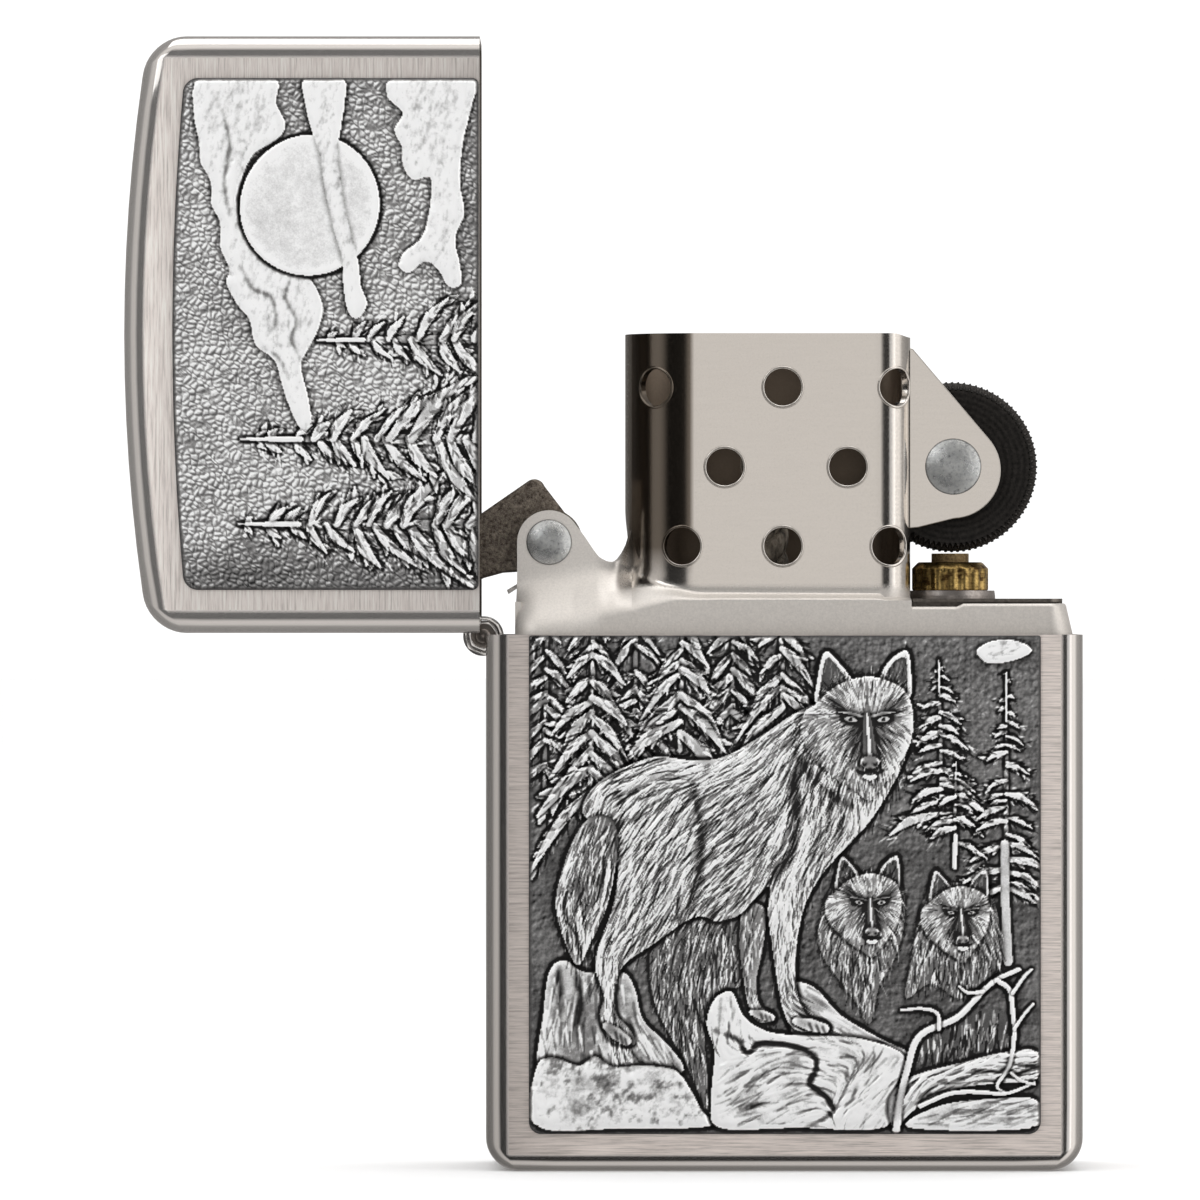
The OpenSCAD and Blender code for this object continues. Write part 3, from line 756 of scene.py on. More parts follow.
def chimney_plan(angle):
    """A point of the chimney's left end; 180 is its far left and 90 where the flat front starts."""
    x, out = arc(CHIMNEY_LEFT + LEFT_R, CHIMNEY_HALF_D - LEFT_R, LEFT_R, angle, angle, 0)[0]
    return x, -out


def corner_plan(centre_x, angle):
    """A point of one of the tank's front corners; 180 is its left, 270 its front and 360 its right."""
    return tuple(arc(centre_x, -TANK_HALF_D + TANK_R, TANK_R, angle, angle, 0)[0])


def cam_ear_columns():
    """The cam's ear, from its round outer edge to the valley beside the chimney."""
    columns = []
    for angle in np.linspace(180, 35, 22):
        x = CAM_X + CAM_EAR_R * math.cos(math.radians(angle))
        turn = np.interp(x, [CAM_X - CAM_EAR_R, TANK_LEFT + TANK_R], [180, 270])
        tank = corner_plan(TANK_LEFT + TANK_R, turn) if turn < 270 else (x, -TANK_HALF_D)
        columns.append(sheet_column(tank, bend_height(x), (x, -EAR_Y), join_height(x), ear_top(x)))
    for x in np.linspace(-13.2, -9.74, 16):
        y = -EAR_Y + 0.64 * smooth((x + 11.0) / 1.3)
        join = min(join_height(x), ear_top(x) - 0.1)
        columns.append(sheet_column((x, -TANK_HALF_D), bend_height(x), (x, y), join, ear_top(x)))
    return columns


def chimney_columns():
    """Front of the chimney from its left corner to where the wheel's ear starts."""
    plan = [chimney_plan(angle) for angle in np.linspace(155, 90, 14)]
    straight = np.linspace(CHIMNEY_LEFT + LEFT_R, CHIMNEY_RIGHT - RIGHT_R, 24)[1:]
    plan += [(x, -CHIMNEY_HALF_D) for x in straight]
    columns = [
        sheet_column((x, -TANK_HALF_D), bend_height(x), (x, y), join_height(x), CHIMNEY_TOP) for x, y in plan
    ]
    corner = arc(CHIMNEY_RIGHT - RIGHT_R, CHIMNEY_HALF_D - RIGHT_R, RIGHT_R, 90, 0, 11)[1:]
    for x, out in corner:
        top = CHIMNEY_TOP - 0.25 * smooth((x - 7.0) / 1.1)
        columns.append(sheet_column((x, -TANK_HALF_D), bend_height(x) - 0.02, (x, -out), DECK_Z + 0.1, top))
    return columns


def curl_columns():
    """The chimney's round left end, which stops above the valley and meets the back's."""
    columns = []
    plan = [(CHIMNEY_LEFT, y) for y in np.linspace(0, -(CHIMNEY_HALF_D - LEFT_R), 4)[:-1]]
    plan += [chimney_plan(angle) for angle in np.linspace(180, 155, 7)]
    for i, (x, y) in enumerate(plan):
        foot = 40.2 - 0.9 * smooth(i / (len(plan) - 1))
        column = []
        for t in np.linspace(0, 1, 40):
            z = between(foot, CHIMNEY_TOP, t)
            tuck = 0.3 * (1 - smooth((z - foot) / 2.2)) * (1 - i / len(plan))
            column.append((x + tuck, y, z))
        columns.append(column)
    return columns


def end_columns(x_start):
    """Tank wall round the right-hand end, from the front at x_start to the middle plane.

    The end bulges inside the case and tapers above the seam, and its top edge is rolled inwards.
    """
    bulge = 0.25
    taper = 0.4
    columns = []
    plan = [(x, -TANK_HALF_D) for x in np.linspace(x_start, TANK_RIGHT - TANK_R, 40)]
    plan += [corner_plan(TANK_RIGHT - TANK_R, angle) for angle in np.linspace(270, 360, 12)[1:]]
    plan += [(TANK_RIGHT, y) for y in np.linspace(-TANK_HALF_D + TANK_R, 0, 6)[1:]]
    for x, y in plan:
        on_front = y <= -TANK_HALF_D + 0.01
        notch = 0.2 * smooth((11.4 - x) / 0.4) if on_front else 0.0
        top = RIM_Z - notch
        lean = smooth((x - TANK_RIGHT + 1.4) / 1.4)
        inward = np.array([0.0, 1.0]) if on_front else np.array([TANK_RIGHT - 4.0 - x, -y])
        inward = inward / np.linalg.norm(inward)
        column = [(x + bulge * lean, y, TANK_FOOT), (x + bulge * lean, y, TANK_MID)]
        for t in np.linspace(0, 1, 8):
            column.append((x + lean * (bulge - taper * t), y, between(SEAM_Z, top - RIM_R, t)))
        for angle in np.linspace(0, 80, 8)[1:]:
            a = math.radians(angle)
            step = inward * RIM_R * (1 - math.cos(a))
            rise = top - RIM_R + RIM_R * math.sin(a)
            column.append((x + (bulge - taper) * lean + step[0], y + step[1], rise))
        columns.append(column)
    return columns


def sheet_piece(name, columns, material, inner, mirror=True):
    """Lofts columns into a sheet; mirror adds the back half, welded on where they meet."""
    front = np.array(columns)
    count, rows, _ = front.shape
    points = front.reshape(-1, 3)
    faces = grid_faces(count, rows, flip=True)
    if mirror:
        shift = len(points)
        faces += [tuple(i + shift for i in face) for face in grid_faces(count, rows)]
        points = np.vstack([points, points * np.array([1.0, -1.0, 1.0])])
    piece = mesh_object(name, points, faces, material, "case")
    weld = piece.modifiers.new("weld", "WELD")
    weld.merge_threshold = 0.002 * MM
    thicken(piece, SHEET, inner)
    return settle(piece, SHARP)


def on_sheet(along, lift, side):
    """Point (x, y) along the chimney's sheet from its middle and lift above its outer face."""
    left = CHIMNEY_LEFT + LEFT_R
    right = CHIMNEY_RIGHT - RIGHT_R
    if along < left:
        centre, radius = left, LEFT_R
    elif along > right:
        centre, radius = right, RIGHT_R
    else:
        centre, radius = along, RIGHT_R
    turn = (along - centre) / radius
    return (
        centre + (radius + lift) * math.sin(turn),
        side * (CHIMNEY_HALF_D - radius + (radius + lift) * math.cos(turn)),
    )


def hole_ring(hole, radius, lift, side):
    """Ring of points round a wind hole, which was punched before the sheet was bent."""
    along, row = hole
    ring = arc(along, HOLE_ROWS[row], radius, 0, 360, 40)[:-1]
    return [(*on_sheet(a, lift, side), z) for a, z in ring]


def cut_holes(piece, holes, side):
    """Cuts round wind holes square through one broad face of the chimney and its bends."""
    for hole in holes:
        outside = hole_ring(hole, HOLE_R, 0.8, side)
        inside = hole_ring(hole, HOLE_R, -SHEET - 0.2, side)
        near, far = (outside, inside) if side < 0 else (inside, outside)
        cut_between(piece, near, far)


def hole_rims(material):
    """The fine raised burr round every wind hole."""
    made = []
    for side, holes in ((-1, FRONT_HOLES), (1, BACK_HOLES)):
        for hole in holes:
            points, faces = tube_mesh(hole_ring(hole, HOLE_R + 0.07, 0.0, side), 0.1, closed=True)
            made.append(mesh_object("hole_rim", points, faces, material, "case"))
    return joined("wind_hole_rims", made)


def insert_pieces(steel, soot):
    """The insert's sheet metal: ears, chimney, tank and the burrs of the wind holes."""
    ears = sheet_piece("cam_ears", cam_ear_columns(), steel, steel)
    chimney = sheet_piece("chimney_sides", chimney_columns(), steel, soot)
    cut_holes(chimney, FRONT_HOLES, -1)
    cut_holes(chimney, BACK_HOLES, 1)
    curl = sheet_piece("chimney_end", curl_columns(), steel, soot)
    end = sheet_piece("tank_end", end_columns(CHIMNEY_RIGHT), steel, steel)
    flat_half = 4.15
    heights = (TANK_FOOT, TANK_MID, DECK_Z - 0.2)
    wall = [[(TANK_LEFT, y, z) for z in heights] for y in np.linspace(flat_half, -flat_half, 5)]
    left = sheet_piece("tank_left_end", wall, steel, steel, mirror=False)
    outline = [(8.0, 41.0), (8.6, 41.05), *arc(10.8, 44.72, 3.1, -88, 38, 20), (8.3, 52.45), (8.0, 52.6)]
    plates = []
    for side in (-1, 1):
        y0, y1 = sorted((side * EAR_Y, side * (EAR_Y - SHEET)))
        plates.append(plate_piece("wheel_ear", outline, y0, y1, steel, "case"))
    whole = joined("insert_shell_looks", [chimney, ears, curl, end, left, *plates, hole_rims(steel)])
    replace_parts(whole, "insert_shell")


# ------------------------------------------------------------ small pieces
def rivet_piece(name, node, x, z, head_r, material):
    """Rivet along Y, with a low domed head on each ear."""
    rise = box_mm(node)[1][1] - EAR_Y
    shaft = 0.95
    half = [
        (head_r * share, EAR_Y + 0.05 + (rise + 0.08) * (1 - share ** 2))
        for share in (0.01, 0.2, 0.4, 0.55, 0.7, 0.84, 0.94, 1.0)
    ]
    half += [(head_r * 0.97, EAR_Y + 0.01), (shaft, EAR_Y + 0.005)]
    profile = half + [(r, -y) for r, y in reversed(half)]
    piece = lathe_piece(name, profile, (x, 0, z), "y", material, "case", [node])
    # Marks the head's outer brim, which the rivet material paints near black as shade
    brim = piece.data.attributes.new("brim", "FLOAT", "POINT")
    for vertex in piece.data.vertices:
        reach = math.hypot(vertex.co.x / MM - x, vertex.co.z / MM - z) / head_r
        brim.data[vertex.index].value = 1.0 if reach > 0.96 else 0.0
    return piece


def wheel_piece(material):
    """Spark wheel: two crossed sets of slanting cuts over the rim, and dished side faces."""
    half = WHEEL_HIGH[1]
    sides = 880
    teeth = 88
    slant = 0.9
    cut_depth = 0.034
    notch_depth = 0.014
    angles = 2 * np.pi * np.arange(sides) / sides

    def cuts(angle, along):
        left, right = (
            np.abs(((angle * teeth / (2 * np.pi) + lean * along) % 1.0) - 0.5) * 2 for lean in (slant, -slant)
        )
        notch = 1 - np.abs(np.cos(angle * teeth / 2))
        return 1 - cut_depth * (1 - np.minimum(left, right) ** 0.8) - notch_depth * notch

    rim = [(y, 1 - 0.075 * smooth((abs(y) - half + 0.75) / 0.75), True) for y in np.linspace(half, -half, 32)]
    face = [(0.0, 0.2), (0.0, 0.45), (0.1, 0.55), (0.12, 0.62), (0.02, 0.7), (0.0, 0.86), (0.0, 0.9)]
    rows = [(half - depth, share, False) for depth, share in face] + rim
    rows += [(-half + depth, share, False) for depth, share in reversed(face)]
    points = []
    wear = []
    ring = []
    for y, share, cut in rows:
        profile = cuts(angles, y) if cut else np.ones(sides)
        radius = WHEEL_R * share * profile
        wear.append(1 - (1 - profile) / (cut_depth + notch_depth) if cut else np.full(sides, 0.35))
        ring.append(radius)
        points.append(np.column_stack([
            WHEEL_X + radius * np.cos(angles), np.full(sides, -y), WHEEL_Z + radius * np.sin(angles)
        ]))
    faces = grid_faces(len(rows), sides, closed=True, flip=True)
    faces.append(tuple(range(sides)))
    faces.append(tuple(range((len(rows) - 1) * sides, len(rows) * sides))[::-1])
    values = {"wear": np.concatenate(wear), "ring": np.concatenate(ring)}
    piece = mesh_object(
        "spark_wheel_looks", np.vstack(points), faces, material, "wheel", ["spark_wheel"],
        values
    )
    piece.data.set_sharp_from_angle(angle=math.radians(30))


def collar_piece(material):
    """Brass collar with vertical facets and a chamfered top."""
    low, high = box_mm("flint_collar")
    x = (low[0] + high[0]) / 2
    radius = (high[0] - low[0]) / 2
    height = high[2] - low[2]

    def facets(angle, along):
        depth = 0.045 * smooth(np.array((height - 0.3 - along) / 0.25))
        return 1 - 1.4 * depth * (1 - np.abs(np.cos(8 * angle)))

    profile = [(radius * 0.97, 0.0), (radius, 0.06)]
    profile += [(radius, t) for t in np.linspace(0.12, height - 0.42, 8)]
    profile += [(radius * 0.98, height - 0.36), (radius * 0.86, height - 0.06)]
    profile += [(radius * 0.82, height), (1.92, height)]
    return lathe_piece(
        "flint_collar_looks", profile, (x, 0, low[2]), "z", material, "case",
        ["flint_collar"], sides=168, shape=facets
    )


def curl_piece(y0, y1, start, end, material, body, inner, outer):
    """Part of a rolled knuckle: a bent strip round the hinge pin between two angles."""
    outline = np.vstack([
        arc(HINGE_X, HINGE_Z, outer, start, end, 28),
        arc(HINGE_X, HINGE_Z, inner, end, start, 28),
    ])
    return plate_piece("curl", outline, y0, y1, material, body, 0.04)


def hinge_pin_piece(material):
    """The pin, with the turned-down, slightly domed ends that show inside the outer knuckles."""
    low, high = box_mm("hinge_pin")
    long = high[1]
    shaft = (high[0] - low[0]) / 2
    half = [(0.02, long), (0.3, long - 0.03), (0.46, long - 0.12), (0.5, long - 0.3), (shaft, long - 0.34)]
    profile = half + [(r, -y) for r, y in reversed(half)]
    centre = ((low[0] + high[0]) / 2, 0, (low[2] + high[2]) / 2)
    return lathe_piece(
        "hinge_pin_looks", profile, centre, "y", material, "case", ["hinge_pin"], 32
    )


def hinge_pieces(material):
    """Both leaves with their rolled knuckles, the case's at the ends and in the middle."""
    knuckle = BARREL_LEN / 5
    reach = 1.2
    strip = 0.36
    case_foot = box_mm("hinge_case_leaf")[0][2]
    lid_end = box_mm("hinge_lid_leaf")[0][0]
    hinge = np.array([HINGE_X, HINGE_Z])
    turns = {"case": (-62, -262), "lid": (152, -62)}
    necks = {
        "case": [(0.42, -1.16), (0.85, -0.85), (reach, -1.45), (reach - strip, -1.6)],
        "lid": [(-1.1, 0.46), (-0.78, 0.8), (-1.45, reach), (-1.6, reach - strip)],
    }
    leaves = {
        "case": [(0.66, case_foot - HINGE_Z), (reach, case_foot - HINGE_Z), (reach, -1.31), (0.66, -1.31)],
        "lid": [(lid_end - HINGE_X, 0.66), (-1.31, 0.66), (-1.31, reach), (lid_end - HINGE_X, reach)],
    }
    made = {"case": [], "lid": []}
    for i in range(5):
        body = "lid" if i % 2 else "case"
        y0 = -BARREL_LEN / 2 + i * knuckle + 0.04
        y1 = y0 + knuckle - 0.08
        made[body].append(curl_piece(y0, y1, *turns[body], material, body, 1.03, KNUCKLE_R))
        made[body].append(curl_piece(y0 + 0.1, y1 - 0.1, *turns[body], material, body, 0.74, 1.0))
        neck = hinge + necks[body]
        made[body].append(plate_piece("neck", neck, y0, y1, material, body, 0.05))
    half = BARREL_LEN / 2
    for body, pieces in made.items():
        leaf = hinge + leaves[body]
        pieces.append(plate_piece("leaf", leaf, -half, half, material, body, 0.06))
        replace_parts(joined(f"hinge_{body}_leaf_looks", pieces), f"hinge_{body}_leaf")


def wick_piece(material):
    """Plaited wick: three strands wound round each other."""
    low, high = box_mm("wick")
    x = (low[0] + high[0]) / 2
    length = high[2] - low[2]
    pitch = 5.5
    wind_r = 0.72
    made = []
    for strand in range(3):
        t = np.linspace(0, 1, 90)
        angle = 2 * np.pi * (strand / 3 + t * length / pitch)
        path = np.column_stack([
            x + wind_r * np.cos(angle), wind_r * np.sin(angle), low[2] + 0.2 + t * (length - 0.5)
        ])
        points, faces = tube_mesh(path, 0.86, sides=14)
        made.append(mesh_object("strand", points, faces, material, "case"))
    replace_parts(joined("wick_looks", made), "wick")


def cam_piece(material):
    """Lid cam: hub round the rivet, hump, and the arm that props the lid; edges eased."""
    low, high = box_mm("lid_cam")
    hub = arc(0, 0, 2.15, -100, 62, 20)
    hump = arc(-0.95, 3.35, 0.7, 20, 128, 10)
    wrist = arc(-6.2, -0.4, 0.8, 128, 165, 6)
    toe = arc(-7.1, -2.4, 1.0, 165, 245, 10)
    under = [(-6.7, -3.3), (-5.4, -2.75), (-4.2, -2.28), (-3.0, -1.95), (-1.4, -1.85)]
    outline = np.vstack([hub, hump, wrist, toe, under]) + np.array([CAM_X, CAM_Z])
    return plate_piece(
        "lid_cam_looks", outline, low[1], high[1], material, "cam", 0.22, ["lid_cam"]
    )


def packing_piece(number, material):
    """A wad of cotton: a ball crumpled inwards by soft folds, inside the room of the CAD ball."""
    node = f"packing_ball_{number}"
    low, high = box_mm(node)
    centre = (low + high) / 2
    radius = (high[0] - low[0]) / 2
    waves = rng.normal(0, 1, (14, 3)) * 3.2
    phases = rng.uniform(0, 2 * np.pi, 14)
    rows, columns = 48, 72
    points = []
    for row in range(1, rows):
        tilt = math.pi * row / rows
        angles = 2 * np.pi * np.arange(columns) / columns
        out = np.column_stack([
            math.sin(tilt) * np.cos(angles), math.sin(tilt) * np.sin(angles), np.full(columns, math.cos(tilt))
        ])
        folds = np.mean(np.abs(np.sin(out @ waves.T + phases)), axis=1)
        points.append(centre + out * (radius * (0.84 + 0.16 * np.clip(folds * 1.35, 0, 1)))[:, None])
    faces = grid_faces(rows - 1, columns, closed=True, flip=True)
    faces.append(tuple(range(columns)))
    faces.append(tuple(range((rows - 2) * columns, (rows - 1) * columns))[::-1])
    piece = mesh_object(f"cotton_wad_{number}", np.vstack(points), faces, material, "case", [node])
    return piece


def felt_piece(material):
    """Felt pad over the insert's mouth: puffed edges, dimpled face, a hole round the screw."""
    low, high = box_mm("felt_pad")
    screw_low, screw_high = box_mm("flint_screw")
    screw = np.array([(screw_low[0] + screw_high[0]) / 2, 0.0])
    hole_r = (screw_high[0] - screw_low[0]) / 2 + 0.4
    plan, _, _ = rounded_plan((high[0] - low[0]) / 2, (high[1] - low[1]) / 2, 1.2, 8, 14)
    plan[:, 0] += (high[0] + low[0]) / 2
    spokes = plan - screw
    turn = np.arctan2(spokes[:, 1], spokes[:, 0])
    inner = screw + hole_r * np.column_stack([np.cos(turn), np.sin(turn)])
    half = (high[2] - low[2]) / 2
    steps = np.linspace(0, 1, 13)
    rings = []
    for up, shares, waves in ((1, steps, (2.1, 2.6)), (-1, steps[::-1], (2.4, 2.2))):
        for share in shares:
            flat = between(plan, inner, share)
            puff = half * (0.72 + 0.28 * smooth(min(share, 1 - share) * 8))
            dimple = 0.05 * np.prod(np.sin(flat * np.array(waves)), axis=1)
            rings.append(np.column_stack([flat, low[2] + half + up * (puff - 0.06) + dimple]))
    columns = len(plan)
    faces = grid_faces(len(rings), columns, closed=True)
    last = (len(rings) - 1) * columns
    for c in range(columns):
        d = (c + 1) % columns
        faces.append((last + c, last + d, d, c))
    piece = mesh_object("felt_pad_looks", np.vstack(rings), faces, material, "case", ["felt_pad"])


# ----------------------------------------------------------- relief canvas
RELIEF_PITCH = 0.075
PLATE_BACK_Y = -CASE_D / 2


def curve(points, closed=False):
    """Smooth line through given points."""
    steps = 5
    points = np.asarray(points, dtype=float)
    if closed:
        around = np.vstack([points[-1], points, points[:2]])
    else:
        around = np.vstack([2 * points[0] - points[1], points, 2 * points[-1] - points[-2]])
    made = []
    for a, b, c, d in zip(around, around[1:], around[2:], around[3:]):
        for t in np.arange(steps) / steps:
            bow = (2 * a - 5 * b + 4 * c - d) * t ** 2 + (3 * b - a - 3 * c + d) * t ** 3
            made.append(0.5 * (2 * b + (c - a) * t + bow))
    if not closed:
        made.append(points[-1])
    return np.array(made)


def line_distance(u, v, line, closed=False):
    """Distance of each grid point from a line, and how far along it (0 to 1) the nearest point is."""
    starts = line if closed else line[:-1]
    ends = np.roll(line, -1, axis=0) if closed else line[1:]
    best = np.full(u.shape, np.inf)
    share = np.zeros(u.shape)
    for i, (a, b) in enumerate(zip(starts, ends)):
        step = b - a
        t = ((u - a[0]) * step[0] + (v - a[1]) * step[1]) / max(step @ step, 1e-9)
        t = np.clip(t, 0, 1)
        gap = (u - a[0] - t * step[0]) ** 2 + (v - a[1] - t * step[1]) ** 2
        closer = gap < best
        best[closer] = gap[closer]
        share[closer] = (i + t[closer]) / len(starts)
    return np.sqrt(best), share


def within(u, v, line):
    """Which grid points are inside a closed line."""
    crossed = np.zeros(u.shape, dtype=bool)
    for a, b in zip(line, np.roll(line, -1, axis=0)):
        if a[1] != b[1]:
            spans = (a[1] > v) != (b[1] > v)
            crossed ^= spans & (u < (b[0] - a[0]) * (v - a[1]) / (b[1] - a[1]) + a[0])
    return crossed


def blurred(field, cells):
    """Field smoothed by three passes of a moving average this many cells wide."""
    size = max(int(cells) | 1, 3)
    for _ in range(3):
        for axis in (0, 1):
            pad = [(0, 0), (0, 0)]
            pad[axis] = (size // 2 + 1, size // 2)
            total = np.cumsum(np.pad(field, pad, mode="edge"), axis=axis)
            high = np.take(total, range(size, total.shape[axis]), axis=axis)
            low = np.take(total, range(total.shape[axis] - size), axis=axis)
            field = (high - low) / size
    return field


def cobbles(u, v, cell, stretch=1.0):
    """Pebbled texture from 0 in the joints to 1 on the stones, in cells of about this size."""
    across = u / (cell * stretch)
    up = v / cell
    column = np.floor(across).astype(int)
    row = np.floor(up).astype(int)
    shape = (row.max() - row.min() + 3, column.max() - column.min() + 3)
    seed_u = rng.random(shape)
    seed_v = rng.random(shape)
    nearest = np.full(u.shape, 9.0)
    second = np.full(u.shape, 9.0)
    for dr in (-1, 0, 1):
        for dc in (-1, 0, 1):
            r = row - row.min() + dr + 1
            c = column - column.min() + dc + 1
            gap = np.hypot(column + dc + seed_u[r, c] - across, row + dr + seed_v[r, c] - up)
            second = np.minimum(second, np.maximum(nearest, gap))
            nearest = np.minimum(nearest, gap)
    return np.clip((second - nearest) / 0.45, 0, 1)


def mottle(u, v, size, octaves=4):
    """Cloudy noise between about -1 and 1 with features of this size."""
    total = np.zeros(u.shape)
    strength = 1.0
    for _ in range(octaves):
        across = (u - u.min()) / size
        up = (v - v.min()) / size
        lattice = rng.uniform(-1, 1, (int(up.max()) + 3, int(across.max()) + 3))
        c = across.astype(int)
        r = up.astype(int)
        a = smooth(across - c)
        b = smooth(up - r)
        low = lattice[r, c] * (1 - a) + lattice[r, c + 1] * a
        high = lattice[r + 1, c] * (1 - a) + lattice[r + 1, c + 1] * a
        total += strength * (low * (1 - b) + high * b)
        size /= 2
        strength *= 0.55
    return total


def painted_side_light(field, step_u, step_v):
    """Painted light and shade for a tone: how strongly each point of a field faces the side that lies step_u
    and step_v cells away.
    """
    return field - np.roll(field, (-step_v, -step_u), axis=(0, 1))


class Canvas:
    """A relief plate seen from the front: height and brightness on a fine grid, u rightwards, v upwards."""

    def __init__(self, width, height):
        self.u = np.linspace(0, width, round(width / RELIEF_PITCH) + 1)
        self.v = np.linspace(0, height, round(height / RELIEF_PITCH) + 1)
        self.grid_u, self.grid_v = np.meshgrid(self.u, self.v)
        self.level = np.zeros(self.grid_u.shape)
        self.tone = np.zeros(self.grid_u.shape)

    def window(self, points, margin):
        low = np.min(points, axis=0) - margin
        high = np.max(points, axis=0) + margin
        c0, c1 = np.searchsorted(self.u, [low[0], high[0]])
        r0, r1 = np.searchsorted(self.v, [low[1], high[1]])
        part = (slice(r0, r1), slice(c0, c1))
        return part, self.grid_u[part], self.grid_v[part]

    def form(self, outline, base, rise, width, shine, groove=0.1, line_tone=0.4):
        """Raises a rounded form inside an outline, with a dark groove cut round it."""
        line = curve(outline, closed=True)
        part, u, v = self.window(line, 0.6)
        gap, _ = line_distance(u, v, line, closed=True)
        inside = within(u, v, line)
        swell = np.sqrt(1 - (1 - np.clip(gap / width, 0, 1)) ** 2)
        near = np.exp(-(gap / 0.2) ** 2)
        self.level[part] = np.where(inside, base + rise * swell, self.level[part] - groove * near)
        self.tone[part] = np.where(inside, shine, self.tone[part] - line_tone * near)
        return {"part": part, "u": u, "v": v, "gap": gap, "inside": inside}

    def ribbon(self, points, widths, base, rise, shine, groove=0.06):
        """Raises a rounded branch or rod whose half width changes along its length."""
        line = curve(points)
        reach = max(widths)
        part, u, v = self.window(line, reach + 0.4)
        gap, share = line_distance(u, v, line)
        half = np.interp(share, np.linspace(0, 1, len(widths)), widths)
        ratio = gap / half
        inside = ratio < 1
        swell = np.sqrt(np.clip(1 - ratio ** 2, 0, 1))
        near = np.exp(-(np.maximum(gap - half, 0) / 0.15) ** 2)
        self.level[part] = np.where(inside, base + rise * swell, self.level[part] - groove * near)
        self.tone[part] = np.where(inside, shine, self.tone[part] - 0.3 * near)

    def crease(self, points, width, depth, shade):
        """Presses a soft groove along a line."""
        line = curve(points)
        part, u, v = self.window(line, width * 2.2)
        gap, share = line_distance(u, v, line)
        press = np.exp(-(gap / width) ** 2) * np.sqrt(np.clip(np.sin(np.pi * share) * 2, 0.15, 1))
        self.level[part] -= depth * press
        self.tone[part] -= shade * press

    def stroke(self, line, width, rise, shine):
        """Adds one tapered hair or needle."""
        part, u, v = self.window(line, width)
        if not u.size:
            return
        gap, share = line_distance(u, v, line)
        half = width * np.sqrt(np.clip(1.02 - share ** 2, 0.05, 1))
        swell = np.clip(1 - (gap / half) ** 2, 0, 1)
        self.level[part] += rise * swell
        self.tone[part] += shine * swell

    def hair(self, form, combs, density, length, width, rise, shine, dark=0.4):
        """Covers a form with hairs that follow the nearest combed directions.

        combs are (u, v, degrees). density is in hairs for each square millimetre.
        """
        combs = np.asarray(combs, dtype=float)
        heading = np.radians(combs[:, 2])
        rows, columns = np.nonzero(form["inside"] & (form["gap"] > 0.08))
        count = int(density * len(rows) * RELIEF_PITCH ** 2)
        for pick in rng.integers(0, len(rows), count):
            place = np.array([form["u"][rows[pick], columns[pick]], form["v"][rows[pick], columns[pick]]])
            far = length * rng.uniform(0.6, 1.4)
            lean = rng.normal(0, 0.16)
            line = [place]
            for _ in range(3):
                pull = 1 / (np.sum((combs[:, :2] - line[-1]) ** 2, axis=1) + 0.3) ** 1.5
                angle = math.atan2(pull @ np.sin(heading), pull @ np.cos(heading)) + lean
                line.append(line[-1] + far / 3 * np.array([math.cos(angle), math.sin(angle)]))
            bright = rng.random() > dark
            thick = width * rng.uniform(0.7, 1.3)
            gain = 1 if bright else -1
            self.stroke(np.array(line), thick, rise * gain, shine * gain)

    def finish(self, edge_r):
        """Patina: hollows go dark and ridges bright; the plate's edges are bevelled."""
        fine = self.level - blurred(self.level, 0.3 / RELIEF_PITCH)
        broad = self.level - blurred(self.level, 1.1 / RELIEF_PITCH)
        self.tone = self.tone + 2.6 * fine + 1.1 * broad
        width = self.u[-1]
        height = self.v[-1]
        edge = np.minimum.reduce([self.grid_u, width - self.grid_u, self.grid_v, height - self.grid_v])
        bevel = 1 - smooth(edge / edge_r)
        self.level = self.level * (1 - 0.55 * bevel)
        self.tone = self.tone * (1 - bevel) + 0.12 * bevel


def plate_object(name, canvas, top, foot_r, head_r, material, body, replaced, place=None):
    """Turns a canvas into a plate: relief in front, a flat back, corners rounded.

    top(u) gives the plate's height at u, and the rows are spaced to fill it. foot_r and head_r
    are the radii of its lower and upper corners.
    """
    rows, columns = canvas.level.shape
    u = canvas.grid_u.copy()
    v = canvas.grid_v.copy()
    width = canvas.u[-1]
    height = canvas.v[-1]
    for cu, cv, radius in (
        (0, 0, foot_r), (width, 0, foot_r), (0, height, head_r), (width, height, head_r)
    ):
        inner_u = radius if cu == 0 else width - radius
        inner_v = radius if cv == 0 else height - radius
        du = u - inner_u
        dv = v - inner_v
        corner = (du * (cu - inner_u) > 0) & (dv * (cv - inner_v) > 0)
        square = np.maximum(np.abs(du), np.abs(dv))
        scale = np.where(corner, square / np.maximum(np.hypot(du, dv), 1e-9), 1.0)
        u = inner_u + du * scale
        v = inner_v + dv * scale
    v = v * top(u) / height
    x = u - width / 2
    front = PLATE_BACK_Y - canvas.level
    points = np.column_stack([x.ravel(), front.ravel(), (PLATE_FOOT[name] + v).ravel()])
    faces = grid_faces(rows, columns)
    rim = list(range(columns))
    rim += [r * columns + columns - 1 for r in range(1, rows)]
    rim += [(rows - 1) * columns + c for c in range(columns - 2, -1, -1)]
    rim += [r * columns for r in range(rows - 2, 0, -1)]
    back = points[rim].copy()
    back[:, 1] = PLATE_BACK_Y
    start = len(points)
    points = np.vstack([points, back])
    count = len(rim)
    for i in range(count):
        j = (i + 1) % count
        faces.append((rim[j], rim[i], start + i, start + j))
    faces.append(tuple(range(start, start + count))[::-1])
    tone = np.concatenate([canvas.tone.ravel(), np.full(count, 0.1)])
    if place is not None:
        points = place(points)
    return mesh_object(name, points, faces, material, body, replaced, values={"tone": tone})


